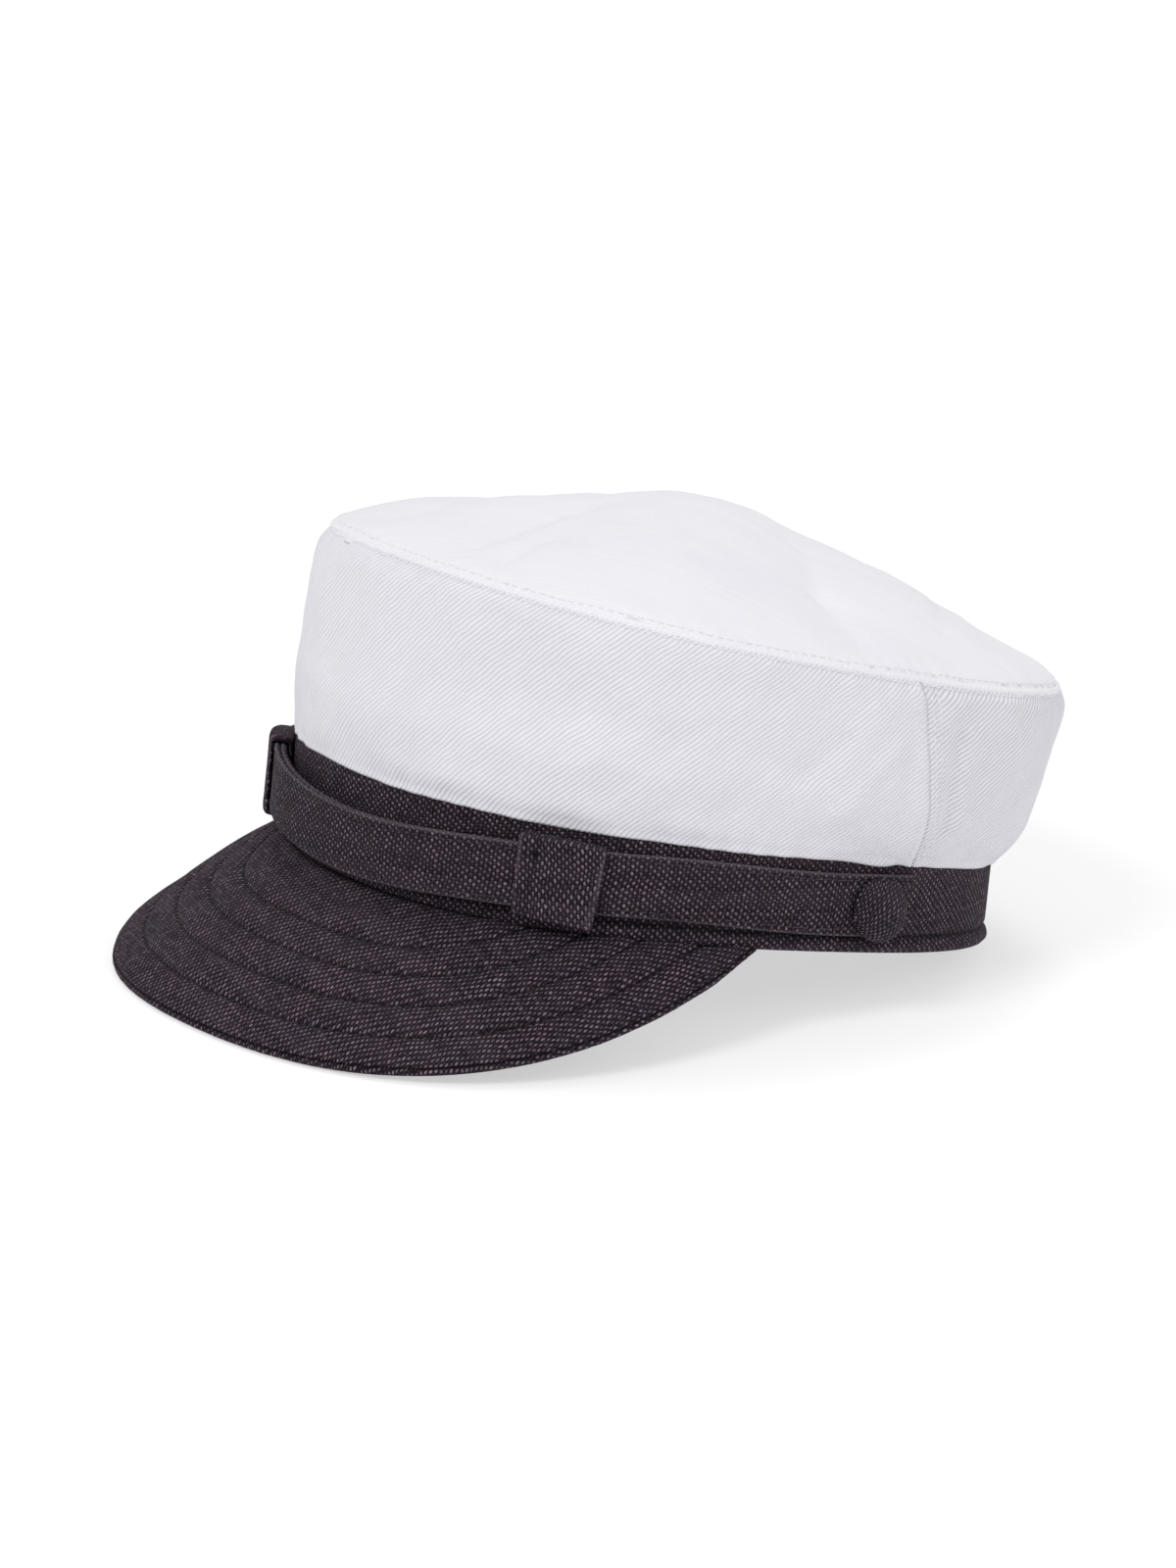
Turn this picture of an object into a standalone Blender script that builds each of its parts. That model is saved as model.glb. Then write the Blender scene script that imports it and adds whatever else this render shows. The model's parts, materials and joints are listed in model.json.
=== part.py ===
"""Sailor cap in metres, +Z up: the peak points to -Y and the wearer's left is +X.

The cap is modelled level on its head ring and then set down as it rests by itself,
on the edge of the peak and the back of the hem. Angles run round the head from the
front (0) over the wearer's left (90 degrees) to the back (180).
"""

import math

import bpy
from mathutils import Matrix, Vector

MM = 0.001

# Head ring, the outer face of the band at the hem
HEAD_WIDTH = 172.6 * MM
HEAD_LENGTH = 198.0 * MM
RING_POWER = 2.25
EGG_SHARE = 0.02
SIDE_LIFT = 2.1 * MM
ASSEMBLY_GAP = 0.3 * MM

# Band
BAND_WALL = 2.0 * MM
BAND_HEIGHT_FRONT = 28.9 * MM
BAND_HEIGHT_BACK = 21.4 * MM
BAND_FLARE = 0.6 * MM
BAND_LEAN = 2.6 * MM
BAND_MIDDLE_SHARE = 0.55
HEM_THICKNESS = 3.7 * MM
HEM_FLAT = 2.0 * MM

# White crown
CROWN_WALL = 1.4 * MM
CROWN_HEIGHT_FRONT = 88.3 * MM
CROWN_HEIGHT_BACK = 72.3 * MM
CROWN_WIDTH = 189.4 * MM
CROWN_LENGTH = 212.7 * MM
CROWN_SHIFT = 2.2 * MM
CREST_SOFTENING = 1.2 * MM
CREST_SOFT_REACH = 4.5 * MM
CORNER_SOFTENING = 2.0 * MM
CORNER_SOFT_REACH = 11.0 * MM
CORNER_DEG = -40.0
CORNER_SPREAD_DEG = 32.0
SIDE_BELLY = 4.0 * MM
SIDE_DENT_DEPTH = 2.2 * MM
TIP_RISE = 25.5 * MM
TIP_DOME_POWER = 1.45
TIP_FOLD_HEIGHT = 2.6 * MM
SIDE_SEAM_TOP_DEG = 91.8
SIDE_SEAM_BOTTOM_DEG = 103.5

# Peak
PEAK_REACH = 60.6 * MM
PEAK_HALF_DEG = 77.1
PEAK_OUTLINE_POWER = 3.4
PEAK_TAPER_POWER = 1.62
PEAK_FAN = 0.85
PEAK_SLOPE_FRONT_DEG = 41.1
PEAK_SLOPE_LEFT_DEG = 35.7
PEAK_SLOPE_RIGHT_DEG = 41.5
PEAK_THICKNESS = 3.2 * MM
PEAK_EDGE_THICKNESS = 4.5 * MM
PEAK_ARCH = 1.6 * MM
PEAK_EDGE_DROP = 1.2 * MM
PEAK_SEAT_OVERLAP = 0.7 * MM
PEAK_END_REACH = 1.5 * MM
PEAK_TAPER_REACH = 14.0 * MM
PEAK_TIP_SLIMNESS = 0.3

# Straps
STRAP_WIDTH = 17.4 * MM
STRAP_THICKNESS = 1.5 * MM
STRAP_EDGE_ROUNDING = 0.375 * MM
STRAP_HEIGHT = 15.2 * MM
STRAP_FRONT_DROP = 4.2 * MM
STRAP_DROP_DEG = 30.0
STRAP_END_DEG = 104.5
STRAP_LIFT_DEG = 16.0

# Loops that hold the straps together
KEEPER_WIDTH = 18.8 * MM
KEEPER_CENTRE_DEG = 41.5
KEEPER_WALL = 1.5 * MM
KEEPER_EASE = 1.0 * MM
KEEPER_RAISE_LEFT = 0.6 * MM
KEEPER_RAISE_RIGHT = -0.6 * MM
STRAP_PAST_KEEPER = 1.0 * MM

# Cloth covered buttons
BUTTON_DIAMETER = 18.6 * MM
BUTTON_HEIGHT = 6.0 * MM
BUTTON_DEG = 96.0
BUTTON_DROP = 2.4 * MM

# How far cloth gives where the cap rests
REST_FLATTENING = 0.6 * MM

RING_STEPS = 72
PEAK_STEPS = 32
STRAP_STEPS = 38
KEEPER_STEPS = 4
BUTTON_SIDES = 16
REST_ROUNDS = 12
SHARP_EDGE_DEG = 50.0

# Shares of a panel over which its folds fade into its seams
SIDE_FADE_LOW = 0.15
SIDE_FADE_HIGH = 0.12
TIP_FADE = 0.2

# Steps by which slopes of the ring and the panels are taken
RING_STEP = 0.001
PANEL_ANGLE_STEP = 0.02
PANEL_SHARE_STEP = 0.01
TIP_RINGS = (0.10, 0.24, 0.38, 0.52, 0.65, 0.77, 0.87, 0.94, 0.98)
SIDE_ROWS = (0.07, 0.16, 0.25, 0.33, 0.43, 0.54, 0.66, 0.78, 0.88, 0.94, 0.975)

# Peak section: shares of the reach at the rows of the upper and under face, and turns round the edge
PEAK_TOP_ROWS = (0.12, 0.26, 0.40, 0.55, 0.70, 0.84, 0.94)
PEAK_UNDER_ROWS = (0.94, 0.75, 0.50, 0.25)
PEAK_EDGE_TURNS_DEG = (75.0, 35.0, 0.0, -35.0, -75.0)

# Button: spread as a share of its radius, rise as a share of its height
BUTTON_RINGS = (
    (0.78, 0.00),
    (0.96, 0.12),
    (1.00, 0.34),
    (0.92, 0.60),
    (0.70, 0.84),
    (0.36, 0.97),
)

# Side wall: height share, and how far it stands out at front and back, as shares of SIDE_BELLY
SIDE_PROFILE = (
    (0.00, 0.00, 0.00),
    (0.07, 0.36, 0.70),
    (0.16, 0.50, 1.20),
    (0.25, 0.66, 1.28),
    (0.32, 0.80, 1.26),
    (0.42, 0.50, 1.22),
    (0.54, 0.38, 1.14),
    (0.66, 0.38, 1.02),
    (0.78, 0.34, 0.88),
    (0.88, 0.22, 0.70),
    (0.95, 0.10, 0.42),
    (1.00, 0.00, 0.00),
)

# Side dents and swells: angle and height share at both ends, width as a share of the wall height,
# depth as a share of SIDE_DENT_DEPTH (negative is a dent)
SIDE_FOLDS = (
    (50.0, 0.78, 70.0, 0.76, 0.22, -1.00),
    (24.0, 0.76, 39.5, 0.60, 0.14, -0.50),
    (39.5, 0.60, 54.0, 0.42, 0.14, -0.60),
    (-15.0, 0.72, 7.0, 0.74, 0.18, -0.45),
    (75.5, 0.47, 82.0, 0.80, 0.12, -0.70),
    (88.5, 0.50, 92.0, 0.78, 0.10, -0.55),
    (108.0, 0.42, 105.0, 0.80, 0.12, -0.50),
    (45.0, 0.20, 66.0, 0.17, 0.14, -0.40),
    (62.0, 0.46, 74.0, 0.52, 0.16, 0.45),
    (150.0, 0.55, 170.0, 0.70, 0.22, -0.70),
    (-62.0, 0.72, -40.0, 0.62, 0.20, -0.80),
    (-55.0, 0.36, -30.0, 0.36, 0.16, -0.60),
    (-100.0, 0.45, -92.0, 0.75, 0.14, -0.60),
    (-140.0, 0.60, -160.0, 0.40, 0.18, -0.60),
)

# Tip creases and ridges: both ends as shares of the half width and half length, width as a share
# of the half width, height as a share of TIP_FOLD_HEIGHT (negative is a crease)
TIP_FOLDS = (
    (-0.34, -0.83, -0.50, -0.10, 0.07, -0.70),
    (0.08, -0.84, -0.09, -0.38, 0.07, -0.65),
    (-0.09, -0.38, -0.46, 0.04, 0.08, -0.60),
    (0.25, -0.84, 0.17, -0.60, 0.06, -0.45),
    (-0.10, 0.36, 0.23, 0.17, 0.08, -0.50),
    (0.23, 0.17, 0.62, -0.06, 0.08, -0.90),
    (0.62, -0.06, 0.86, -0.12, 0.07, -0.50),
    (-0.35, 0.20, 0.45, -0.48, 0.26, 0.90),
    (0.10, 0.55, 0.72, 0.20, 0.14, 0.60),
    (-0.34, 0.20, -0.06, 0.44, 0.13, 1.00),
    (0.05, 0.78, 0.62, 0.56, 0.06, -0.45),
    (-0.62, 0.50, -0.20, 0.72, 0.10, -0.50),
    (-0.80, -0.20, -0.62, 0.30, 0.10, 0.45),
)


def smooth_step(value):
    value = min(max(value, 0.0), 1.0)
    return value * value * (3.0 - 2.0 * value)


def ring_point(half_width, half_length, shift, front, back, side_lift, angle):
    """A point of a soft oval ring whose front and back stand at the given heights."""
    s = math.sin(angle)
    c = math.cos(angle)
    reach = (abs(s) ** RING_POWER + abs(c) ** RING_POWER) ** (-1.0 / RING_POWER)
    height = 0.5 * (front + back) + 0.5 * (front - back) * c - side_lift * math.cos(2.0 * angle)
    return Vector((
        half_width * reach * s * (1.0 - EGG_SHARE * c),
        shift - half_length * reach * c,
        height,
    ))


def hem_ring(angle):
    return ring_point(HEAD_WIDTH / 2, HEAD_LENGTH / 2, 0.0, 0.0, 0.0, SIDE_LIFT, angle)


def band_top_ring(angle):
    return ring_point(HEAD_WIDTH / 2 + BAND_FLARE, HEAD_LENGTH / 2, -BAND_LEAN,
                      BAND_HEIGHT_FRONT, BAND_HEIGHT_BACK, SIDE_LIFT, angle)


def crest_ring(angle):
    return ring_point(CROWN_WIDTH / 2, CROWN_LENGTH / 2, CROWN_SHIFT,
                      CROWN_HEIGHT_FRONT, CROWN_HEIGHT_BACK, 0.0, angle)


def ring_speed(angle):
    """Length of hem per radian at this angle."""
    return (hem_ring(angle + RING_STEP) - hem_ring(angle - RING_STEP)).length / (2.0 * RING_STEP)


def outward(angle):
    """Level direction away from the head at this angle."""
    along = hem_ring(angle + RING_STEP) - hem_ring(angle - RING_STEP)
    return Vector((along.y, -along.x, 0.0)).normalized()


def on_band(angle, height, out):
    """A point at a height above the hem and a distance off the band's outer face."""
    low = hem_ring(angle)
    high = band_top_ring(angle)
    share = height / (high.z - low.z)
    return low.lerp(high, share) + outward(angle) * out


def fold_relief(folds, across, up, across_scale, reach):
    """Sum of the folds at a place; each is a ridge or crease along a straight stretch."""
    total = 0.0
    for across_0, up_0, across_1, up_1, width, height in folds:
        start = Vector((across_0 * across_scale, up_0))
        stretch = Vector((across_1 * across_scale, up_1)) - start
        place = Vector((across * across_scale, up)) - start
        along = min(max(place.dot(stretch) / stretch.length_squared, 0.0), 1.0)
        distance = (place - stretch * along).length
        total += height * math.exp(-(distance / width) ** 2)
    return total * reach


def profile_out(share, back_share):
    """How far the side wall stands out of the straight line between band and crest."""
    for row, following in zip(SIDE_PROFILE, SIDE_PROFILE[1:]):
        if share <= following[0]:
            part = (share - row[0]) / (following[0] - row[0])
            front = row[1] + (following[1] - row[1]) * part
            back = row[2] + (following[2] - row[2]) * part
            return SIDE_BELLY * (front + (back - front) * back_share)
    return 0.0


def crest_softening(angle, distance):
    """Vector by which the cloth at a distance from the crest is drawn in, so that the crest is soft."""
    turned = (math.degrees(angle) - CORNER_DEG + 180.0) % 360.0 - 180.0
    corner = math.exp(-(turned / CORNER_SPREAD_DEG) ** 2)
    depth = CREST_SOFTENING * math.exp(-(distance / CREST_SOFT_REACH) ** 2)
    depth += corner * CORNER_SOFTENING * math.exp(-(distance / CORNER_SOFT_REACH) ** 2)
    return -(outward(angle) + Vector((0.0, 0.0, 1.0))).normalized() * depth


def side_point(angle, share):
    low = band_top_ring(angle)
    high = crest_ring(angle)
    tall = (high - low).length
    degrees = math.degrees(angle)
    turned = (degrees + 180.0) % 360.0 - 180.0
    arc_per_degree = math.radians(0.5 * (HEAD_WIDTH + HEAD_LENGTH) / 2) / tall
    back_share = 0.5 - 0.5 * math.cos(angle)
    fade = smooth_step(share / SIDE_FADE_LOW) * smooth_step((1.0 - share) / SIDE_FADE_HIGH)
    dents = fold_relief(SIDE_FOLDS, turned, share, arc_per_degree, SIDE_DENT_DEPTH) * fade
    place = low.lerp(high, share) + outward(angle) * (profile_out(share, back_share) + dents)
    return place + crest_softening(angle, (1.0 - share) * tall)


def side_normal(angle, share):
    low = max(share - PANEL_SHARE_STEP, 0.0)
    high = min(share + PANEL_SHARE_STEP, 1.0)
    along = (side_point(angle + PANEL_ANGLE_STEP, share)
             - side_point(angle - PANEL_ANGLE_STEP, share))
    rise = side_point(angle, high) - side_point(angle, low)
    return along.cross(rise).normalized()


def tip_point(angle, share):
    edge = crest_ring(angle)
    centre = Vector((0.0, CROWN_SHIFT, 0.5 * (CROWN_HEIGHT_FRONT + CROWN_HEIGHT_BACK)))
    place = centre.lerp(edge, share)
    across = place.x / (CROWN_WIDTH / 2)
    ahead = (place.y - CROWN_SHIFT) / (CROWN_LENGTH / 2)
    folds = fold_relief(TIP_FOLDS, across, ahead, 1.0, TIP_FOLD_HEIGHT)
    dome = TIP_RISE * (1.0 - share ** TIP_DOME_POWER)
    place.z += dome + folds * smooth_step((1.0 - share) / TIP_FADE)
    return place + crest_softening(angle, (1.0 - share) * (edge - centre).length)


def tip_normal(angle, share):
    inner = max(share - PANEL_SHARE_STEP, 0.1 * PANEL_SHARE_STEP)
    outer = min(share + PANEL_SHARE_STEP, 1.0)
    along = (tip_point(angle + PANEL_ANGLE_STEP, share)
             - tip_point(angle - PANEL_ANGLE_STEP, share))
    rise = tip_point(angle, inner) - tip_point(angle, outer)
    return along.cross(rise).normalized()


def crest_inset(angle):
    """Vector from the crest to the inside of the seam, shared by tip and sides."""
    side = side_normal(angle, 1.0)
    tip = tip_normal(angle, 1.0)
    middle = (side + tip).normalized()
    return -middle * (CROWN_WALL / max(middle.dot(side), 0.5))


def cloth_material(name, colour, roughness):
    material = bpy.data.materials.new(name)
    material.use_nodes = True
    shader = material.node_tree.nodes["Principled BSDF"]
    shader.inputs["Base Color"].default_value = (*colour, 1.0)
    shader.inputs["Roughness"].default_value = roughness
    shader.inputs["Metallic"].default_value = 0.0
    return material


def white_twill(name):
    return cloth_material(name + "_twill", (0.84, 0.84, 0.88), 0.85)


def dark_linen(name):
    return cloth_material(name + "_linen", (0.045, 0.035, 0.042), 0.88)


def add_piece(name, points, faces, material):
    mesh = bpy.data.meshes.new(name)
    mesh.from_pydata([tuple(point) for point in points], [], faces)
    mesh.validate()
    mesh.shade_smooth()
    mesh.set_sharp_from_angle(angle=math.radians(SHARP_EDGE_DEG))
    mesh.materials.append(material)
    piece = bpy.data.objects.new(name, mesh)
    bpy.context.scene.collection.objects.link(piece)
    return piece


def joined_sections(sections, closed):
    """Points and faces of a solid swept through sections, each a ring of points.

    A section runs clockwise when one looks along the sweep.
    """
    points = [point for section in sections for point in section]
    size = len(sections[0])
    count = len(sections)
    faces = []
    for step in range(count if closed else count - 1):
        here = step * size
        there = (step + 1) % count * size
        for corner in range(size):
            after = (corner + 1) % size
            faces.append((here + corner, there + corner, there + after, here + after))
    if not closed:
        faces.append(tuple(range(size)))
        faces.append(tuple(reversed(range((count - 1) * size, count * size))))
    return points, faces


def ring_angles():
    return [2.0 * math.pi * step / RING_STEPS for step in range(RING_STEPS)]


def make_tip():
    shares = list(TIP_RINGS) + [1.0 - ASSEMBLY_GAP / (CROWN_WIDTH / 2)]
    angles = ring_angles()
    outer = [tip_point(0.0, 0.0)]
    inner = [tip_point(0.0, 0.0) - Vector((0.0, 0.0, CROWN_WALL))]
    for share in shares:
        for angle in angles:
            place = tip_point(angle, share)
            outer.append(place)
            if share == shares[-1]:
                inner.append(place + crest_inset(angle))
            else:
                inner.append(place - tip_normal(angle, share) * CROWN_WALL)
    size = RING_STEPS
    below = len(outer)
    faces = []
    for step in range(size):
        after = (step + 1) % size
        faces.append((0, 1 + step, 1 + after))
        faces.append((below, below + 1 + after, below + 1 + step))
        for ring in range(len(shares) - 1):
            near = 1 + ring * size
            far = near + size
            faces.append((near + step, far + step, far + after, near + after))
            faces.append((below + near + step, below + near + after,
                          below + far + after, below + far + step))
        rim = 1 + (len(shares) - 1) * size
        faces.append((rim + step, below + rim + step, below + rim + after, rim + after))
    return add_piece("crown_tip", outer + inner, faces, white_twill("crown_tip"))


def make_side(name, centre):
    """The half of the side wall centred on an angle, from one side seam to the other."""
    gap_share = ASSEMBLY_GAP / (CROWN_HEIGHT_FRONT - BAND_HEIGHT_FRONT)
    shares = [gap_share] + list(SIDE_ROWS) + [1.0 - gap_share]
    seam_gap = 0.5 * ASSEMBLY_GAP / (CROWN_WIDTH / 2)
    steps = RING_STEPS // 2
    sections = []
    for step in range(steps + 1):
        across = 2.0 * step / steps - 1.0
        outer = []
        inner = []
        for share in shares:
            seam = math.radians(SIDE_SEAM_BOTTOM_DEG
                                + (SIDE_SEAM_TOP_DEG - SIDE_SEAM_BOTTOM_DEG) * share)
            half = (seam if centre == 0.0 else math.pi - seam) - seam_gap
            angle = centre + across * half
            place = side_point(angle, share)
            outer.append(place)
            if share == shares[-1]:
                inner.append(place + crest_inset(angle))
            else:
                inner.append(place - side_normal(angle, share) * CROWN_WALL)
        sections.append(outer + list(reversed(inner)))
    points, faces = joined_sections(sections, False)
    size = len(sections[0])
    faces = faces[:-2]
    last = (len(sections) - 1) * size
    for row in range(len(shares) - 1):
        across_row = size - 1 - row
        faces.append((row, row + 1, across_row - 1, across_row))
        faces.append((last + row, last + across_row, last + across_row - 1, last + row + 1))
    return add_piece(name, points, faces, white_twill(name))


def make_band():
    radius = HEM_THICKNESS / 2
    middle = -BAND_WALL / 2
    leave = math.asin(min(BAND_WALL / HEM_THICKNESS, 0.99))
    top_gap = ASSEMBLY_GAP / 2
    bead_turns = (math.pi / 2 - leave, math.radians(10.0), math.radians(-32.0))
    sections = []
    for angle in ring_angles():
        height = (band_top_ring(angle) - hem_ring(angle)).z - top_gap
        outline = [(0.0, height), (0.0, BAND_MIDDLE_SHARE * height)]
        for turn in bead_turns:
            outline.append((middle + radius * math.cos(turn), radius + radius * math.sin(turn)))
        outline.append((middle + HEM_FLAT / 2, 0.0))
        outline.append((middle - HEM_FLAT / 2, 0.0))
        for turn in reversed(bead_turns):
            outline.append((middle - radius * math.cos(turn), radius + radius * math.sin(turn)))
        outline.append((-BAND_WALL, height))
        sections.append([on_band(angle, up, out) for out, up in reversed(outline)])
    points, faces = joined_sections(sections, True)
    return add_piece("band", points, faces, dark_linen("band"))


def peak_reach(angle):
    turn = min(abs(angle) / math.radians(PEAK_HALF_DEG), 1.0)
    return PEAK_REACH * (1.0 - turn ** PEAK_OUTLINE_POWER) ** PEAK_TAPER_POWER


def peak_end_angle():
    """The angle where the peak has narrowed to its end reach."""
    share = (PEAK_END_REACH / PEAK_REACH) ** (1.0 / PEAK_TAPER_POWER)
    return math.radians(PEAK_HALF_DEG) * (1.0 - share) ** (1.0 / PEAK_OUTLINE_POWER)


def peak_arch(reach, share):
    """Rise of the peak's faces between the band and the edge."""
    return PEAK_ARCH * (reach / PEAK_REACH) * 4.0 * share * (1.0 - share)


def peak_section(angle):
    turn = abs(angle) / math.radians(PEAK_HALF_DEG)
    side_slope = PEAK_SLOPE_LEFT_DEG if angle > 0.0 else PEAK_SLOPE_RIGHT_DEG
    slope = math.radians(PEAK_SLOPE_FRONT_DEG + (side_slope - PEAK_SLOPE_FRONT_DEG) * turn ** 2)
    fan = angle * PEAK_FAN
    ahead = Vector((math.sin(fan) * math.cos(slope), -math.cos(fan) * math.cos(slope),
                    -math.sin(slope)))
    upward = Vector((math.sin(fan) * math.sin(slope), -math.cos(fan) * math.sin(slope),
                     math.cos(slope)))
    reach = peak_reach(angle)
    slim = PEAK_TIP_SLIMNESS + (1.0 - PEAK_TIP_SLIMNESS) * smooth_step(reach / PEAK_TAPER_REACH)
    body = PEAK_THICKNESS * slim
    radius = min(PEAK_EDGE_THICKNESS / 2 * slim, reach / 2)
    drop = PEAK_EDGE_DROP * slim
    inside = 0.5 * (HEM_THICKNESS + BAND_WALL)
    root = on_band(angle, -ASSEMBLY_GAP, PEAK_SEAT_OVERLAP)
    seat = on_band(angle, -ASSEMBLY_GAP, -inside)
    flat = reach - radius

    def at(out, rise):
        return root + ahead * out + upward * rise

    section = [seat, root]
    for share in PEAK_TOP_ROWS:
        section.append(at(flat * share, peak_arch(reach, share)))
    for turn_deg in PEAK_EDGE_TURNS_DEG:
        bead = math.radians(turn_deg)
        section.append(at(flat + radius * math.cos(bead), radius * math.sin(bead) - drop))
    for share in PEAK_UNDER_ROWS:
        section.append(at(flat * share, peak_arch(reach, share) - body))
    section.append(root - Vector((0.0, 0.0, body)))
    section.append(seat - Vector((0.0, 0.0, body)))
    return section


def make_peak():
    end = peak_end_angle()
    sections = []
    for step in range(PEAK_STEPS + 1):
        sections.append(list(reversed(peak_section(end * (2.0 * step / PEAK_STEPS - 1.0)))))
    points, faces = joined_sections(sections, False)
    return add_piece("peak", points, faces, dark_linen("peak"))


def strap_height(angle):
    """Height of a strap's middle above the hem."""
    drop = math.exp(-(angle / math.radians(STRAP_DROP_DEG)) ** 2)
    return STRAP_HEIGHT - STRAP_FRONT_DROP * drop


def layer_out(layer):
    """Distance off the band of the inner face of the first or second strap at the loops."""
    return ASSEMBLY_GAP + (KEEPER_WALL + ASSEMBLY_GAP) + layer * (STRAP_THICKNESS + ASSEMBLY_GAP)


def strap_out(angle, layer):
    """A strap lies on the band at its button and climbs to its layer before the loop."""
    loop_end = math.radians(KEEPER_CENTRE_DEG) + keeper_half_angle()
    climb = 1.0 - smooth_step((angle - loop_end) / math.radians(STRAP_LIFT_DEG))
    return ASSEMBLY_GAP + (layer_out(layer) - ASSEMBLY_GAP) * climb


def keeper_half_angle():
    centre = math.radians(KEEPER_CENTRE_DEG)
    return 0.5 * KEEPER_WIDTH / ring_speed(centre)


def make_strap(name, side, layer):
    """side is 1 for the strap buttoned on the wearer's left and -1 for the other."""
    far = math.radians(KEEPER_CENTRE_DEG) + keeper_half_angle()
    far -= STRAP_PAST_KEEPER / ring_speed(far)
    start = -far
    stop = math.radians(STRAP_END_DEG)
    half = STRAP_WIDTH / 2
    edge = STRAP_EDGE_ROUNDING
    thick = STRAP_THICKNESS
    profile = (
        (0.0, half - edge), (thick / 2, half), (thick, half - edge),
        (thick, edge - half), (thick / 2, -half), (0.0, edge - half),
    )
    sections = []
    for step in range(STRAP_STEPS + 1):
        angle = start + (stop - start) * step / STRAP_STEPS
        middle = strap_height(angle)
        off = strap_out(angle, layer)
        row = [on_band(side * angle, middle + up, off + out) for out, up in profile]
        sections.append(row if side < 0 else list(reversed(row)))
    points, faces = joined_sections(sections, False)
    return add_piece(name, points, faces, dark_linen(name))


def make_keeper(name, side, lift):
    """A flat loop of cloth round both straps, set off their middle by a lift."""
    centre = math.radians(KEEPER_CENTRE_DEG)
    half_angle = keeper_half_angle()
    inner_low = ASSEMBLY_GAP + KEEPER_WALL
    inner_high = layer_out(1) + STRAP_THICKNESS + ASSEMBLY_GAP
    outer_low = ASSEMBLY_GAP
    outer_high = inner_high + KEEPER_WALL
    room = STRAP_WIDTH / 2 + KEEPER_EASE
    tall = room + KEEPER_WALL
    chamfer = 0.5 * KEEPER_WALL
    outside = (
        (outer_low, tall - chamfer), (outer_low + chamfer, tall), (outer_high - chamfer, tall),
        (outer_high, tall - chamfer), (outer_high, chamfer - tall), (outer_high - chamfer, -tall),
        (outer_low + chamfer, -tall), (outer_low, chamfer - tall),
    )
    nick = 0.2 * KEEPER_WALL
    inside = (
        (inner_low, room - nick), (inner_low + nick, room), (inner_high - nick, room),
        (inner_high, room - nick), (inner_high, nick - room), (inner_high - nick, -room),
        (inner_low + nick, -room), (inner_low, nick - room),
    )
    size = len(outside)
    points = []
    for step in range(KEEPER_STEPS + 1):
        angle = centre + half_angle * (2.0 * step / KEEPER_STEPS - 1.0)
        middle = strap_height(angle) + lift
        for outline in (outside, inside):
            points += [on_band(side * angle, middle + up, out) for out, up in outline]
    faces = []
    for step in range(KEEPER_STEPS):
        here = 2 * size * step
        there = here + 2 * size
        for corner in range(size):
            after = (corner + 1) % size
            faces.append((here + after, there + after, there + corner, here + corner))
            faces.append((here + size + corner, there + size + corner,
                          there + size + after, here + size + after))
    last = 2 * size * KEEPER_STEPS
    for corner in range(size):
        after = (corner + 1) % size
        faces.append((corner, size + corner, size + after, after))
        faces.append((last + after, last + size + after, last + size + corner, last + corner))
    if side < 0:
        faces = [tuple(reversed(face)) for face in faces]
    return add_piece(name, points, faces, dark_linen(name))


def make_button(name, side):
    angle = side * math.radians(BUTTON_DEG)
    height = strap_height(abs(angle)) - BUTTON_DROP
    out = 2.0 * ASSEMBLY_GAP + STRAP_THICKNESS
    seat = on_band(angle, height, out)
    along = (on_band(angle + 0.05, height, out) - on_band(angle - 0.05, height, out)).normalized()
    rise = (on_band(angle, height + MM, out) - on_band(angle, height - MM, out)).normalized()
    normal = along.cross(rise).normalized()
    radius = BUTTON_DIAMETER / 2
    points = [seat]
    for spread, lift in BUTTON_RINGS:
        for step in range(BUTTON_SIDES):
            turn = 2.0 * math.pi * step / BUTTON_SIDES
            flat = along * math.cos(turn) + rise * math.sin(turn)
            points.append(seat + flat * radius * spread + normal * BUTTON_HEIGHT * lift)
    points.append(seat + normal * BUTTON_HEIGHT)
    top = len(points) - 1
    faces = []
    for step in range(BUTTON_SIDES):
        after = (step + 1) % BUTTON_SIDES
        faces.append((0, 1 + after, 1 + step))
        for ring in range(len(BUTTON_RINGS) - 1):
            low = 1 + ring * BUTTON_SIDES
            high = low + BUTTON_SIDES
            faces.append((low + step, low + after, high + after, high + step))
        last = 1 + (len(BUTTON_RINGS) - 1) * BUTTON_SIDES
        faces.append((last + step, last + after, top))
    return add_piece(name, points, faces, dark_linen(name))


def lowest(places, turned):
    return min((turned @ place for place in places), key=lambda place: place.z)


def resting_turn(peak, band):
    """The turn about X that brings the peak's edge and the back of the hem to one level."""
    ahead = [vertex.co for vertex in peak.data.vertices]
    behind = [vertex.co for vertex in band.data.vertices if vertex.co.y > 0.0]
    angle = 0.0
    for _ in range(REST_ROUNDS):
        turned = Matrix.Rotation(angle, 4, "X")
        front = lowest(ahead, turned)
        back = lowest(behind, turned)
        angle -= math.atan2(back.z - front.z, back.y - front.y)
    return Matrix.Rotation(angle, 4, "X")


def set_down(pieces, turned):
    """Turn the cap to rest, press its lowest cloth flat and centre it over the origin."""
    for piece in pieces:
        piece.data.transform(turned)
    places = [vertex.co for piece in pieces for vertex in piece.data.vertices]
    floor = min(place.z for place in places) + REST_FLATTENING
    middle_x = 0.5 * (min(place.x for place in places) + max(place.x for place in places))
    middle_y = 0.5 * (min(place.y for place in places) + max(place.y for place in places))
    for place in places:
        place.z = max(place.z, floor) - floor
        place.x -= middle_x
        place.y -= middle_y


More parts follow.
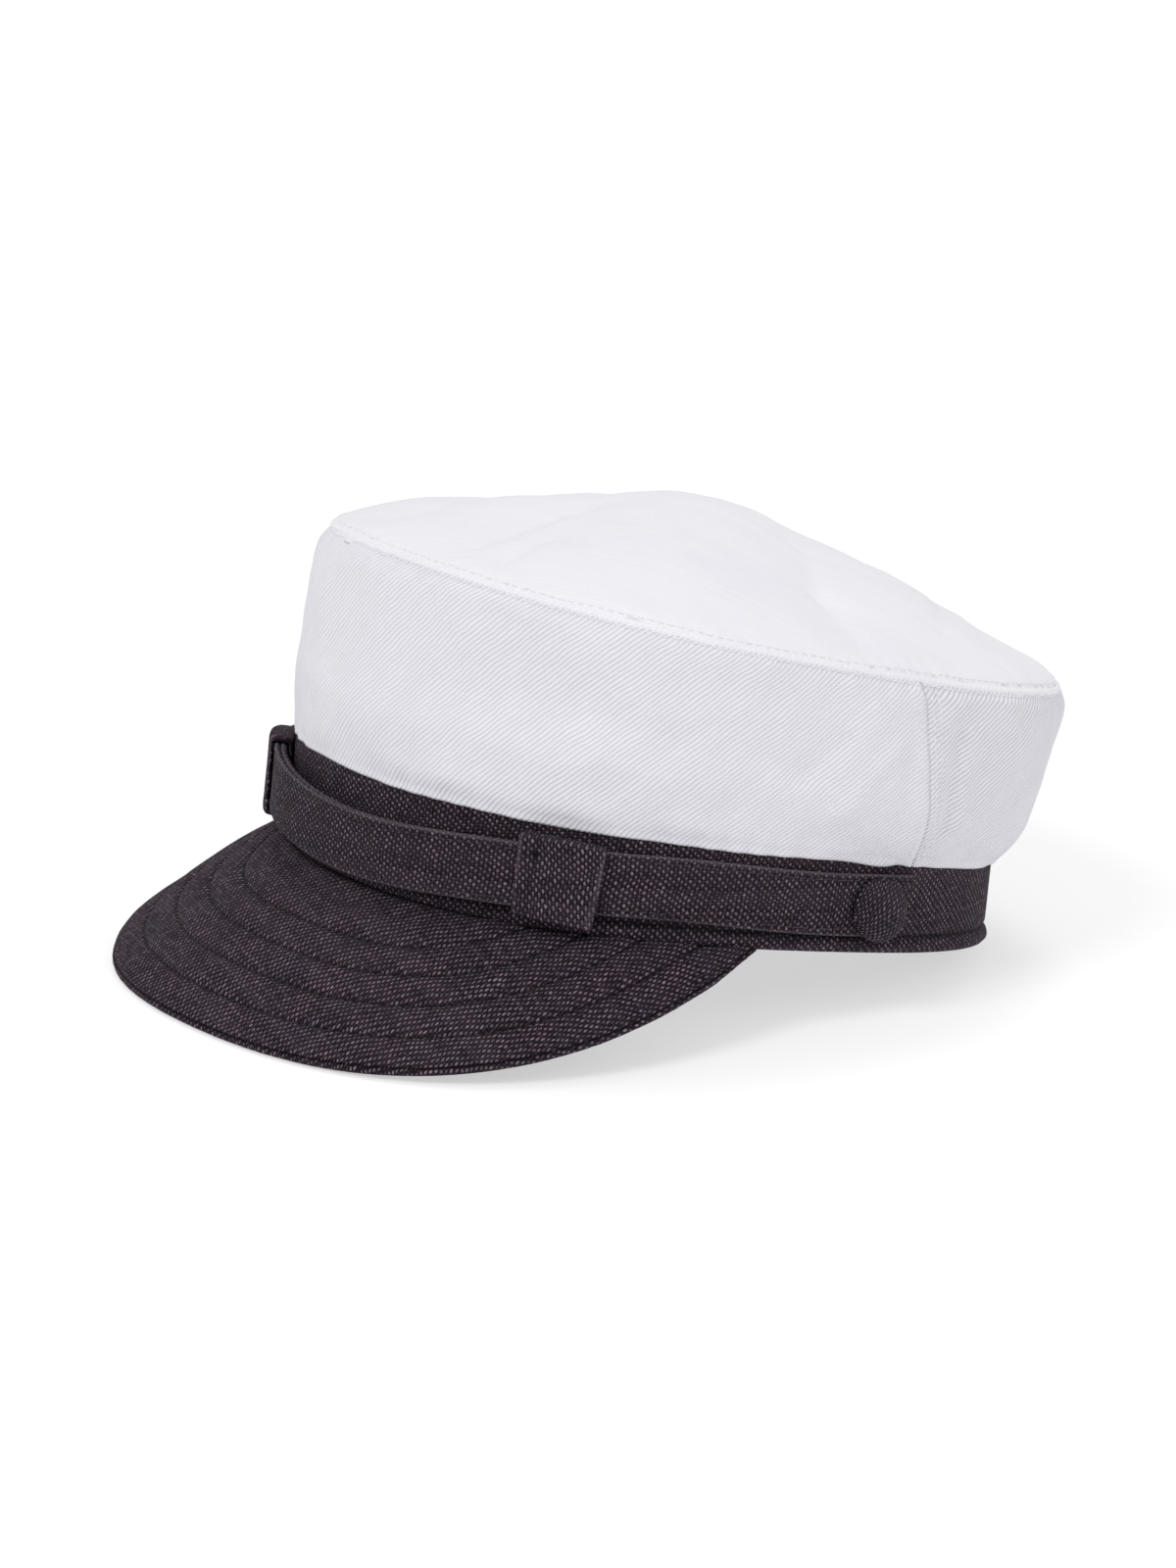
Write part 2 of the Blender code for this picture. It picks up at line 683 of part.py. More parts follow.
def build_cap():
    for item in list(bpy.data.objects):
        bpy.data.objects.remove(item, do_unlink=True)
    band = make_band()
    peak = make_peak()
    pieces = [
        band,
        peak,
        make_tip(),
        make_side("crown_side_front", 0.0),
        make_side("crown_side_back", math.pi),
        make_strap("strap_left", 1, 0),
        make_strap("strap_right", -1, 1),
        make_keeper("keeper_left", 1, KEEPER_RAISE_LEFT),
        make_keeper("keeper_right", -1, KEEPER_RAISE_RIGHT),
        make_button("button_left", 1),
        make_button("button_right", -1),
    ]
    set_down(pieces, resting_turn(peak, band))


build_cap()
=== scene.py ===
"""Looks of the sailor cap: sewn cloth walls, stitching, woven finishes, camera and lights."""

import json
import math

import bpy
import numpy as np
from mathutils import Matrix, Vector, noise
from mathutils.bvhtree import BVHTree

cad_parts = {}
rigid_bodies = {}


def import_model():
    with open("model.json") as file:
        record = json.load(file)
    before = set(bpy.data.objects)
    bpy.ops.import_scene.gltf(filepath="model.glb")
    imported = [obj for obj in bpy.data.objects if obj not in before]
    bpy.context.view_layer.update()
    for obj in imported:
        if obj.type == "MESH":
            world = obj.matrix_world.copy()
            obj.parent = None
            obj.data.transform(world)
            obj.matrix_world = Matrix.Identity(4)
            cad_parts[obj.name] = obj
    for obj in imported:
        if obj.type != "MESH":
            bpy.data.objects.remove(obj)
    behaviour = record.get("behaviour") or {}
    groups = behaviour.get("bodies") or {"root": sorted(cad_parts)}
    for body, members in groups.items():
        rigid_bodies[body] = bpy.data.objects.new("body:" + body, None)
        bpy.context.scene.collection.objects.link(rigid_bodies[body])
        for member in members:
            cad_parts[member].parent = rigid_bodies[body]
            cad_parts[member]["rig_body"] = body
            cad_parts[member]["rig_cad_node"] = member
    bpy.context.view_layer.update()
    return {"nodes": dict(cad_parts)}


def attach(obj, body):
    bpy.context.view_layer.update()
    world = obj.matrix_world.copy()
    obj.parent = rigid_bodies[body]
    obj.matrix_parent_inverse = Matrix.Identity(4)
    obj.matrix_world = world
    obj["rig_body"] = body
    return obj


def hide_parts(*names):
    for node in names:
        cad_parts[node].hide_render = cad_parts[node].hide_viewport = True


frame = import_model()

MM = 0.001

# How the cap rests: its turn about X and its move, from the cap level on its head ring
REST_TURN = math.radians(-9.81616)
REST_MOVE = np.array((-0.0432, 15.3530, 18.3475)) * MM

# Named sizes of the frame that stitches and folds are laid out by
HEAD_HALF = (86.3 * MM, 99.0 * MM)
CROWN_HALF = (94.7 * MM, 106.35 * MM)
CROWN_MEAN = 0.5 * (CROWN_HALF[0] + CROWN_HALF[1])
BAND_FLARE = 0.6 * MM
BAND_LEAN = 2.6 * MM
BAND_HEIGHTS = (28.9 * MM, 21.4 * MM)
CROWN_HEIGHTS = (88.3 * MM, 72.3 * MM)
CROWN_SHIFT = 2.2 * MM
SIDE_LIFT = 2.1 * MM
RING_POWER = 2.25
EGG_SHARE = 0.02
STRAP_WIDTH = 17.4 * MM
STRAP_HEIGHT = 15.2 * MM
STRAP_FRONT_DROP = 4.2 * MM
STRAP_DROP_DEG = 30.0
KEEPER_CENTRE_DEG = 41.5
KEEPER_WIDTH = 18.8 * MM
SIDE_SEAM_TOP_DEG = 91.8
SIDE_SEAM_BOTTOM_DEG = 103.5
PEAK_REACH = 60.6 * MM
PEAK_HALF_DEG = 77.1

# One unit of the cloth map is this long
CLOTH_UNIT = 100.0 * MM

UP = np.array((0.0, 0.0, 1.0))
turn = np.array(Matrix.Rotation(REST_TURN, 3, "X"))


def to_cap(places):
    """Row places as places of the level cap."""
    return (places - REST_MOVE) @ turn


def to_row(places):
    return places @ turn.T + REST_MOVE


def dot(first, second):
    return np.sum(first * second, axis=1)


def ring(half, shift, heights, lift, angle):
    """Places of a soft oval ring at the angles, one row each, in the level cap."""
    s = np.sin(angle)
    c = np.cos(angle)
    reach = (abs(s) ** RING_POWER + abs(c) ** RING_POWER) ** (-1.0 / RING_POWER)
    middle = 0.5 * (heights[0] + heights[1])
    slope = 0.5 * (heights[0] - heights[1])
    return np.stack((
        half[0] * reach * s * (1.0 - EGG_SHARE * c),
        shift - half[1] * reach * c,
        middle + slope * c - lift * np.cos(2.0 * angle),
    ), axis=-1)


def hem_ring(angle):
    return ring(HEAD_HALF, 0.0, (0.0, 0.0), SIDE_LIFT, angle)


def band_top_ring(angle):
    half = (HEAD_HALF[0] + BAND_FLARE, HEAD_HALF[1])
    return ring(half, -BAND_LEAN, BAND_HEIGHTS, SIDE_LIFT, angle)


def crest_ring(angle):
    return ring(CROWN_HALF, CROWN_SHIFT, CROWN_HEIGHTS, 0.0, angle)


def wall_height(angle):
    return np.linalg.norm(crest_ring(angle) - band_top_ring(angle), axis=1)


def ring_angle(places, half, shift):
    """Angle round the head of places near a ring."""
    across = places[:, 0] / half[0]
    ahead = (shift - places[:, 1]) / half[1]
    angle = np.arctan2(across, ahead)
    return np.arctan2(across / (1.0 - EGG_SHARE * np.cos(angle)), ahead)


def outward_at(angle):
    """Level directions away from the head."""
    step = 0.001
    along = hem_ring(angle + step) - hem_ring(angle - step)
    out = np.stack((along[:, 1], -along[:, 0], np.zeros(len(angle))), axis=-1)
    return out / np.linalg.norm(out, axis=1)[:, None]


def backward_at(angle):
    """Level directions along the wall towards the back, on both sides."""
    return np.cross(UP, outward_at(angle)) * np.where(angle > 0.0, 1.0, -1.0)[:, None]


def lengths_along(places):
    """Length of a line of places up to each of them."""
    steps = np.linalg.norm(np.diff(places, axis=0), axis=1)
    return np.concatenate(((0.0,), np.cumsum(steps)))


def arc_table(ring_at, half_steps=720):
    """Angles and the lengths round a ring from its front to each of them."""
    angles = np.linspace(-math.pi, math.pi, 2 * half_steps + 1)
    arcs = lengths_along(ring_at(angles))
    return angles, arcs - arcs[half_steps]


HEM_ARC = arc_table(hem_ring)
CREST_ARC = arc_table(crest_ring)


# Pieces

MERGE_WITHIN = 0.01 * MM
QUAD_DEG = 60.0
RIM_DEG = 48.0


def only(piece):
    bpy.ops.object.select_all(action="DESELECT")
    piece.select_set(True)
    bpy.context.view_layer.objects.active = piece


def cloth_copy(node, rows=None, level=3, crease=0.9):
    """A merged copy of a CAD node with its folded rims kept crisp, then smoothed."""
    only(frame["nodes"][node])
    bpy.ops.object.duplicate()
    piece = bpy.context.active_object
    piece.name = node + "_cloth"
    piece.parent = None
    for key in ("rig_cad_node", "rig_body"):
        if key in piece:
            del piece[key]
    piece.data.materials.clear()
    bpy.ops.object.mode_set(mode="EDIT")
    bpy.ops.mesh.select_all(action="SELECT")
    bpy.ops.mesh.remove_doubles(threshold=MERGE_WITHIN)
    bpy.ops.mesh.tris_convert_to_quads(face_threshold=math.radians(QUAD_DEG),
                                       shape_threshold=math.radians(QUAD_DEG))
    bpy.ops.mesh.select_mode(type="EDGE")
    bpy.ops.mesh.select_all(action="DESELECT")
    bpy.ops.mesh.edges_select_sharp(sharpness=math.radians(RIM_DEG))
    if crease:
        bpy.ops.transform.edge_crease(value=crease)
    bpy.ops.mesh.select_all(action="DESELECT")
    bpy.ops.object.mode_set(mode="OBJECT")
    bpy.ops.mesh.customdata_custom_splitnormals_clear()
    if rows:
        rows(piece)
    bpy.ops.object.modifier_add(type="SUBSURF")
    smooth = piece.modifiers[-1]
    smooth.levels = level
    smooth.render_levels = level
    bpy.ops.object.modifier_apply(modifier=smooth.name)
    bpy.ops.object.shade_smooth()
    return piece


def cut_edges(piece, chosen, cuts):
    """Cuts the edges that are chosen, which are given by the rows of their two ends."""
    only(piece)
    bpy.ops.object.mode_set(mode="EDIT")
    bpy.ops.mesh.select_mode(type="EDGE")
    bpy.ops.mesh.select_all(action="DESELECT")
    bpy.ops.object.mode_set(mode="OBJECT")
    for edge in piece.data.edges:
        edge.select = bool(chosen(*edge.vertices))
    bpy.ops.object.mode_set(mode="EDIT")
    bpy.ops.mesh.subdivide(number_cuts=cuts)
    bpy.ops.mesh.select_all(action="DESELECT")
    bpy.ops.object.mode_set(mode="OBJECT")


def vectors_of(piece, kind="co"):
    """Places of a piece's vertices, or their normals, one row each."""
    flat = np.empty(len(piece.data.vertices) * 3, np.float32)
    piece.data.vertices.foreach_get(kind, flat)
    return flat.reshape(-1, 3).astype(float)


def in_cap(piece):
    """Places and normals of a piece's vertices in the level cap."""
    return to_cap(vectors_of(piece)), vectors_of(piece, "normal") @ turn


def put_places(piece, places):
    """Moves a piece's vertices to places of the level cap, none of them below the floor."""
    places = to_row(places)
    places[:, 2] = np.maximum(places[:, 2], 0.0)
    piece.data.vertices.foreach_set("co", places.astype(np.float32).ravel())
    piece.data.update()


def map_cloth(piece, across, up):
    """Lays the cloth map: distances along and up the cloth at each vertex."""
    layer = piece.data.uv_layers.get("cloth") or piece.data.uv_layers.new(name="cloth")
    corners = np.empty(len(piece.data.loops), np.int32)
    piece.data.loops.foreach_get("vertex_index", corners)
    flat = np.stack((across, up), axis=-1)[corners] / CLOTH_UNIT
    layer.data.foreach_set("uv", flat.astype(np.float32).ravel())
    for other in [each for each in piece.data.uv_layers if each.name != "cloth"]:
        piece.data.uv_layers.remove(other)
    piece.data.uv_layers.active = piece.data.uv_layers["cloth"]


def mark(piece, name, amount):
    """Keeps how much painted highlight or painted shade the cloth has at each vertex, for its
    material.
    """
    layer = piece.data.attributes.new(name, "FLOAT", "POINT")
    layer.data.foreach_set("value", np.asarray(amount, np.float32))


def finish_piece(piece, material, slot, *nodes):
    piece.data.materials.clear()
    piece.data.materials.append(material)
    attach(piece, "root")
    if nodes:
        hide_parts(*nodes)


# Materials

class Weave:
    """Small helper that chains shader nodes of one material."""

    def __init__(self, name):
        self.material = bpy.data.materials.new(name)
        self.material.use_nodes = True
        self.tree = self.material.node_tree
        self.shader = self.tree.nodes["Principled BSDF"]

    def node(self, kind, **settings):
        made = self.tree.nodes.new(kind)
        for key, value in settings.items():
            setattr(made, key, value)
        return made

    def put(self, socket, value):
        if isinstance(value, bpy.types.NodeSocket):
            self.tree.links.new(value, socket)
        else:
            socket.default_value = value

    def math(self, operation, *values):
        made = self.node("ShaderNodeMath", operation=operation)
        for socket, value in zip(made.inputs, values):
            self.put(socket, value)
        return made.outputs[0]

    def plus(self, first, second):
        return self.math("ADD", first, second)

    def less(self, first, second):
        return self.math("SUBTRACT", first, second)

    def times(self, first, second):
        return self.math("MULTIPLY", first, second)

    def arch(self, across, steepness):
        """One in the middle, falling away with the square of the distance across."""
        return self.less(1.0, self.times(self.times(across, across), steepness))

    def mix(self, factor, first, second):
        made = self.node("ShaderNodeMix", data_type="RGBA")
        for socket, value in ((0, factor), (6, first), (7, second)):
            self.put(made.inputs[socket], value)
        return made.outputs[2]

    def cloth_axes(self):
        """Distances along and up the cloth, in millimetres."""
        place = self.node("ShaderNodeUVMap", uv_map="cloth")
        split = self.node("ShaderNodeSeparateXYZ")
        self.tree.links.new(place.outputs[0], split.inputs[0])
        return tuple(self.times(split.outputs[axis], CLOTH_UNIT / MM) for axis in (0, 1))

    def pair(self, first, second):
        join = self.node("ShaderNodeCombineXYZ")
        self.put(join.inputs[0], first)
        self.put(join.inputs[1], second)
        return join.outputs[0]

    def soft_noise(self, place, scale, detail):
        made = self.node("ShaderNodeTexNoise")
        self.tree.links.new(place, made.inputs["Vector"])
        made.inputs["Scale"].default_value = scale
        made.inputs["Detail"].default_value = detail
        return made.outputs[0]

    def noise(self, across, up, scale, detail):
        """Soft noise on the cloth; scale is per millimetre."""
        return self.soft_noise(self.pair(across, up), scale, detail)

    def object_noise(self, scale, detail=3.0):
        place = self.node("ShaderNodeTexCoord")
        return self.soft_noise(place.outputs["Object"], scale, detail)

    def attribute(self, name):
        return self.node("ShaderNodeAttribute", attribute_name=name).outputs["Fac"]

    def per_thread(self, index, seed):
        made = self.node("ShaderNodeTexWhiteNoise", noise_dimensions="1D")
        self.put(made.inputs["W"], self.plus(index, seed))
        return made.outputs[0]

    def per_float(self, warp_index, weft_index):
        made = self.node("ShaderNodeTexWhiteNoise", noise_dimensions="2D")
        self.tree.links.new(self.pair(warp_index, weft_index), made.inputs["Vector"])
        return made.outputs[0]

    def spread(self, value, low, high, to_low, to_high):
        made = self.node("ShaderNodeMapRange")
        self.put(made.inputs["Value"], value)
        for key, number in zip(("From Min", "From Max", "To Min", "To Max"),
                               (low, high, to_low, to_high)):
            made.inputs[key].default_value = number
        return made.outputs[0]

    def thread_top(self, across, slub, along, sign, lift):
        """Height of a round thread that passes over and under its neighbours."""
        rounded = self.arch(across, self.spread(slub, 0.3, 0.7, 5.2, 2.6))
        wave = self.math("COSINE", self.times(along, math.pi))
        return self.plus(rounded, self.times(self.times(wave, sign), lift))

    def finish(self, colour, roughness, relief, depth, strength, settings):
        """Wires colour, roughness and relief to the shader, and sets its plain numbers."""
        bump = self.node("ShaderNodeBump")
        bump.inputs["Strength"].default_value = strength
        bump.inputs["Distance"].default_value = depth
        self.put(bump.inputs["Height"], relief)
        inputs = self.shader.inputs
        for key, value in (("Base Color", colour), ("Roughness", roughness),
                           ("Normal", bump.outputs[0])):
            self.put(inputs[key], value)
        for key, value in settings.items():
            inputs[key].default_value = value
        return self.material


# Linen colours: each pair runs from the darkest to the lightest thread of its kind
WARM_THREADS = ((0.185, 0.120, 0.152, 1.0), (0.255, 0.192, 0.230, 1.0))
COOL_THREADS = ((0.130, 0.098, 0.150, 1.0), (0.195, 0.160, 0.218, 1.0))
DARK_THREADS = ((0.011, 0.006, 0.011, 1.0), (0.036, 0.024, 0.034, 1.0))
WEAVE_GAP_SHADE = (0.004, 0.002, 0.004, 1.0)
LOOSE_FIBRE = (0.30, 0.25, 0.30, 1.0)
PAINTED_EDGE_HIGHLIGHT = (0.185, 0.155, 0.180, 1.0)
DEEP_SHADE = (0.003, 0.002, 0.003, 1.0)
LINEN_SHEEN = {"Specular IOR Level": 0.12, "Sheen Weight": 0.012, "Sheen Roughness": 0.5,
               "Sheen Tint": (0.62, 0.55, 0.66, 1.0)}

# How often linen threads wander in a millimetre, and how far, in threads
THREAD_WANDERS = ((0.13, 1.5), (0.62, 0.55))
THREAD_LIFT = 0.55
SLUB_PACE = 0.16
LINEN_DEPTH = 0.30 * MM
NEEDLE_ROWS = 4


def plain_weave(name, warp, weft, glow, rows=0.0):
    """Linen of light and dark threads that pass over and under each other; painted highlights lie on
    the tops of the floats and painted shade between the threads.

    Warp and weft give how many threads a millimetre along and up the cloth crosses. Needle rows
    draw lines of painted shade at multiples of a distance from the edge.
    """
    cloth = Weave(name)
    plus, less, times, spread = cloth.plus, cloth.less, cloth.times, cloth.spread
    across, up = cloth.cloth_axes()

    def threads(counts, first, second):
        (slow, far), (quick, near) = THREAD_WANDERS
        wander = times(cloth.noise(first, second, slow, 1.0), far)
        wander = plus(wander, times(cloth.noise(second, first, quick, 1.0), near))
        return plus(plus(times(across, counts[0]), times(up, counts[1])), wander)

    s = threads(warp, across, up)
    t = threads(weft, up, across)
    i = cloth.math("FLOOR", s)
    j = cloth.math("FLOOR", t)
    off_warp = less(less(s, i), 0.5)
    off_weft = less(less(t, j), 0.5)
    sign = less(1.0, times(cloth.math("FLOORED_MODULO", plus(i, j), 2.0), 2.0))
    # a thread swells and thins along its run
    warp_slub = cloth.noise(times(i, 7.3), t, SLUB_PACE, 2.0)
    weft_slub = cloth.noise(times(j, 9.1), s, SLUB_PACE, 2.0)
    warp_top = cloth.thread_top(off_warp, warp_slub, off_weft, sign, THREAD_LIFT)
    weft_top = cloth.thread_top(off_weft, weft_slub, off_warp, sign, -THREAD_LIFT)
    height = cloth.math("MAXIMUM", warp_top, weft_top)
    # the twist of the plies slants each float
    slant = plus(off_warp, off_weft)
    lit = less(less(warp_top, weft_top), times(times(slant, slant), 1.6))
    # partly the light threads' colour, partly a painted highlight where their floats rise highest
    on_top = times(spread(lit, 0.05, 0.75, 0.0, 1.0),
                   spread(cloth.per_float(i, j), 0.0, 1.0, 0.30 * glow, 1.2 * glow))
    fibre = cloth.noise(across, up, 3.4, 3.0)
    patch = cloth.noise(across, up, 0.09, 3.0)
    warm = cloth.mix(cloth.per_thread(i, 3.0), *WARM_THREADS)
    cool = cloth.mix(cloth.per_thread(i, 5.0), *COOL_THREADS)
    dark = cloth.mix(cloth.per_thread(j, 71.0), *DARK_THREADS)
    light = cloth.mix(spread(patch, 0.38, 0.66, 0.0, 1.0), warm, cool)
    colour = cloth.mix(on_top, dark, light)
    # painted shade in the hollows between the threads
    colour = cloth.mix(spread(height, 0.55, 1.35, 0.93, 0.0), colour, WEAVE_GAP_SHADE)
    colour = cloth.mix(spread(fibre, 0.58, 0.85, 0.0, 0.22), colour, LOOSE_FIBRE)
    # painted highlight along the folded edges, broken up by the fibres
    edge_highlight = times(cloth.attribute("painted_edge_highlight"), spread(fibre, 0.35, 0.65, 0.0, 1.0))
    colour = cloth.mix(edge_highlight, colour, PAINTED_EDGE_HIGHLIGHT)
    # painted shade and painted shadow that the pieces mark, mixed towards near black
    colour = cloth.mix(cloth.attribute("shade"), colour, DEEP_SHADE)
    # painted shade along the stitched grooves of the needle rows
    if rows:
        from_edge = cloth.attribute("from_edge")
        off_row = cloth.math("PINGPONG", from_edge, 0.5 * rows)
        line = spread(off_row, 0.12, 0.60, 0.90, 0.0)
        line = times(line, cloth.math("GREATER_THAN", from_edge, 0.5 * rows))
        line = times(line, cloth.math("LESS_THAN", from_edge, (NEEDLE_ROWS + 0.5) * rows))
        colour = cloth.mix(line, colour, DEEP_SHADE)
    return cloth.finish(colour, spread(fibre, 0.2, 0.8, 0.72, 0.97),
                        plus(height, times(fibre, 0.4)), LINEN_DEPTH, 0.9, LINEN_SHEEN)


WHITE = (0.80, 0.795, 0.835, 1.0)
WHITE_SHADE_AND_TONE = (0.50, 0.49, 0.60, 1.0)
TWILL_SHEEN = {"Specular IOR Level": 0.2, "Sheen Weight": 0.15, "Sheen Roughness": 0.6}
FLOAT_SHARE = 0.62
FLOAT_STEP = 0.37


def twill(name, pitch, rise_deg, groove):
    """Cotton twill: floats side by side make fine lines that rise across the cloth."""
    cloth = Weave(name)
    plus, less, times, spread = cloth.plus, cloth.less, cloth.times, cloth.spread
    across, up = cloth.cloth_axes()
    cosine = math.cos(math.radians(rise_deg))
    sine = math.sin(math.radians(rise_deg))
    along = plus(times(across, cosine), times(up, sine))
    over = less(times(up, cosine), times(across, sine))
    wander = cloth.noise(across, up, 0.12, 2.0)
    line = plus(cloth.math("DIVIDE", over, pitch), times(wander, 1.2))
    index = cloth.math("FLOOR", line)
    crest = cloth.arch(less(less(line, index), 0.5), 4.0)
    float_at = plus(cloth.math("DIVIDE", along, pitch * FLOAT_SHARE), times(index, FLOAT_STEP))
    knuckle = cloth.arch(less(cloth.math("FRACT", float_at), 0.5), 3.0)
    fibre = cloth.noise(across, up, 2.6, 3.0)
    height = plus(times(crest, 0.75), times(knuckle, 0.25))
    # painted shade in the hollows between the twill lines; the groove sets how strong it is
    depth = spread(height, 0.1, 0.95, 1.0, 0.0)
    colour = cloth.mix(times(depth, groove), WHITE, WHITE_SHADE_AND_TONE)
    colour = cloth.mix(times(cloth.per_thread(index, 11.0), 0.06), colour, WHITE_SHADE_AND_TONE)
    patches = spread(cloth.object_noise(22.0), 0.45, 0.75, 0.0, 0.10)
    colour = cloth.mix(patches, colour, WHITE_SHADE_AND_TONE)
    return cloth.finish(colour, spread(fibre, 0.2, 0.8, 0.82, 0.97),
                        plus(height, times(fibre, 0.5)), 0.5 * groove * MM, 0.9, TWILL_SHEEN)


def thread(name, light, shade):
    """Sewing thread: plies wound round each other."""
    cloth = Weave(name)
    grain = cloth.object_noise(2600.0, 2.0)
    colour = cloth.mix(cloth.spread(grain, 0.35, 0.65, 0.0, 1.0), light, shade)
    return cloth.finish(colour, cloth.spread(grain, 0.3, 0.7, 0.55, 0.8),
                        grain, 0.08 * MM, 0.6, {"Sheen Weight": 0.1})


white_tip = twill("white_twill_tip", 1.17, 40.0, 0.16)
white_front = twill("white_twill_front", 1.19, 48.5, 0.55)
white_back = twill("white_twill_back", 1.33, 46.0, 0.75)
linen = plain_weave("dark_linen", (0.890, -0.02), (-0.111, 1.12), 0.78)
linen_loop = plain_weave("dark_linen_loop", (1.10, 0.106), (-0.03, 0.905), 0.84)
linen_button = plain_weave("dark_linen_button", (0.992, -0.433), (0.343, 0.735), 0.80)
linen_peak = plain_weave("dark_linen_peak", (1.104, -0.032), (-0.213, 0.839), 0.90, rows=10.5)
white_thread = thread("white_thread", WHITE, (0.70, 0.695, 0.74, 1.0))
dark_thread = thread("dark_thread", (0.030, 0.023, 0.030, 1.0), (0.010, 0.008, 0.011, 1.0))


# Cloth relief

def bell(distance, width):
    return np.exp(-(distance / width) ** 2)


def ease(value):
    value = np.clip(value, 0.0, 1.0)
    return value * value * (3.0 - 2.0 * value)


def drape(places, size, height, seed):
    """Slow rise and fall of cloth at places; size and height are in millimetres."""
    shift = Vector((seed * 3.7, seed * 1.9, seed * 5.3))
    waves = [noise.noise(Vector(place) / (size * MM) + shift) for place in places]
    return np.array(waves) * height * MM


def puckers(along, distance, pitch, reach, height, seed):
    """Small gathers where a seam draws the cloth.

    Pitch and height are in millimetres, reach in the unit of the distance from the seam.
    """
    turns = along / (pitch * MM)
    waves = np.sin(2.0 * math.pi * (turns + 0.8 * np.sin(turns * 0.9 + seed)))
    return waves * bell(distance, reach) * height * MM


def fold_sum(folds, across, up, scale):
    """Sum of folds at the places; each is a ridge or dent along a straight stretch."""
    total = np.zeros(len(across))
    for across_0, up_0, across_1, up_1, width, height in folds:
        start = np.array((across_0 * scale, up_0))
        stretch = np.array((across_1 * scale, up_1)) - start
        place = np.stack((across * scale, up), axis=-1) - start
        along = np.clip(place @ stretch / (stretch @ stretch), 0.0, 1.0)
        distance = np.linalg.norm(place - along[:, None] * stretch, axis=1)
        total += height * bell(distance, width)
    return total


# Crown

SEAM_RIDGE = 0.18 * MM
SEAM_RIDGE_FADE = 0.7 * MM
SEAM_STITCH_OFF = 2.3 * MM
CREST_STITCH_OFF = SEAM_STITCH_OFF + 0.3 * MM
STITCH_DENT_WIDTH = 0.6 * MM
CREST_GAP = 0.45 * MM
CREST_DRAWN_IN = 1.35 * MM
CREST_DRAWN_DOWN = 0.55 * MM
CORNER_DRAWN = 0.6
SIDE_ROUND_REACH = 5.6 * MM
TIP_ROUND_REACH = 3.0 * MM
CREST_SINK = 0.30 * MM
SIDE_OVERHANG = 0.55 * MM
SEAM_CLOSED_BY = 0.17 * MM

# Lengths on the cloth map as shares of those round the crest and across the tip
SIDE_MAP_SHARE = 0.96
TIP_MAP_SHARE = 1.05

# How the frame's own crest is drawn in, all round and more at its front right corner
CREST_SOFTENING = 1.2 * MM
CREST_SOFT_REACH = 4.5 * MM
CORNER_SOFTENING = 2.0 * MM
CORNER_SOFT_REACH = 11.0 * MM
CORNER_DEG = -40.0
CORNER_SPREAD_DEG = 32.0

# Fine folds of the side wall: angle and height share at both ends, width as a share of the wall
# height, depth in millimetres
SIDE_FOLD_GAIN = 1.4 * MM
SIDE_DEG_SHARE = 0.0255
SIDE_FINE_FOLDS = (
    (30.0, 0.55, 47.0, 0.50, 0.07, -0.35),
    (52.0, 0.62, 66.0, 0.66, 0.08, 0.30),
    (64.0, 0.50, 80.0, 0.40, 0.06, -0.35),
    (84.0, 0.25, 90.0, 0.62, 0.05, 0.50),
    (81.0, 0.62, 76.0, 0.44, 0.07, -0.70),
    (104.5, 0.22, 101.5, 0.74, 0.035, -0.75),
    (108.0, 0.25, 105.0, 0.70, 0.05, 0.60),
    (96.0, 0.20, 93.0, 0.60, 0.04, -0.40),
    (112.0, 0.30, 118.0, 0.70, 0.08, 0.30),
    (8.0, 0.30, 22.0, 0.40, 0.08, 0.25),
    (-20.0, 0.45, -4.0, 0.35, 0.08, -0.30),
    (10.0, 0.86, 34.0, 0.84, 0.05, -0.30),
)

# Fine folds of the tip: both ends as shares of the half width and half length, width as such a
# share, depth in millimetres
TIP_FOLD_GAIN = 1.7 * MM
TIP_FINE_FOLDS = (
    (-0.30, -0.80, -0.46, -0.20, 0.035, -0.45),
    (0.12, -0.82, -0.06, -0.40, 0.035, -0.50),
    (-0.06, -0.40, -0.40, 0.02, 0.04, -0.40),
    (0.26, -0.84, 0.18, -0.64, 0.03, -0.45),
    (0.24, 0.16, 0.60, -0.05, 0.035, -0.45),
    (0.60, -0.05, 0.84, -0.08, 0.04, -0.35),
    (0.30, 0.62, 0.70, 0.30, 0.03, -0.35),
    (0.22, 0.72, 0.60, 0.48, 0.03, 0.30),
    (-0.20, 0.85, 0.30, 0.80, 0.05, -0.35),
)

# Where the side's lower edge dips and lifts: angle, spread in degrees, share of the overhang
LIP_DIPS = ((95.5, 3.5, 1.1), (100.5, 2.0, -1.3))


def wall_place(places):
    """Angle, height share and wall height at places on the side wall."""
    share = np.full(len(places), 0.5)
    for _ in range(3):
        half = (HEAD_HALF[0] + (CROWN_HALF[0] - HEAD_HALF[0]) * share,
                HEAD_HALF[1] + (CROWN_HALF[1] - HEAD_HALF[1]) * share)
        angle = ring_angle(places, half, -BAND_LEAN + (CROWN_SHIFT + BAND_LEAN) * share)
        low = band_top_ring(angle)
        high = crest_ring(angle)
        share = np.clip((places[:, 2] - low[:, 2]) / (high[:, 2] - low[:, 2]), 0.0, 1.1)
    return angle, share, np.linalg.norm(high - low, axis=1)


def seam_angle(share):
    """Angle of the side seams at a height share of the wall."""
    return np.radians(SIDE_SEAM_BOTTOM_DEG + (SIDE_SEAM_TOP_DEG - SIDE_SEAM_BOTTOM_DEG) * share)


def corner_at(angle):
    """One at the front right corner, less away from it."""
    return bell(np.degrees(angle) - CORNER_DEG, CORNER_SPREAD_DEG)


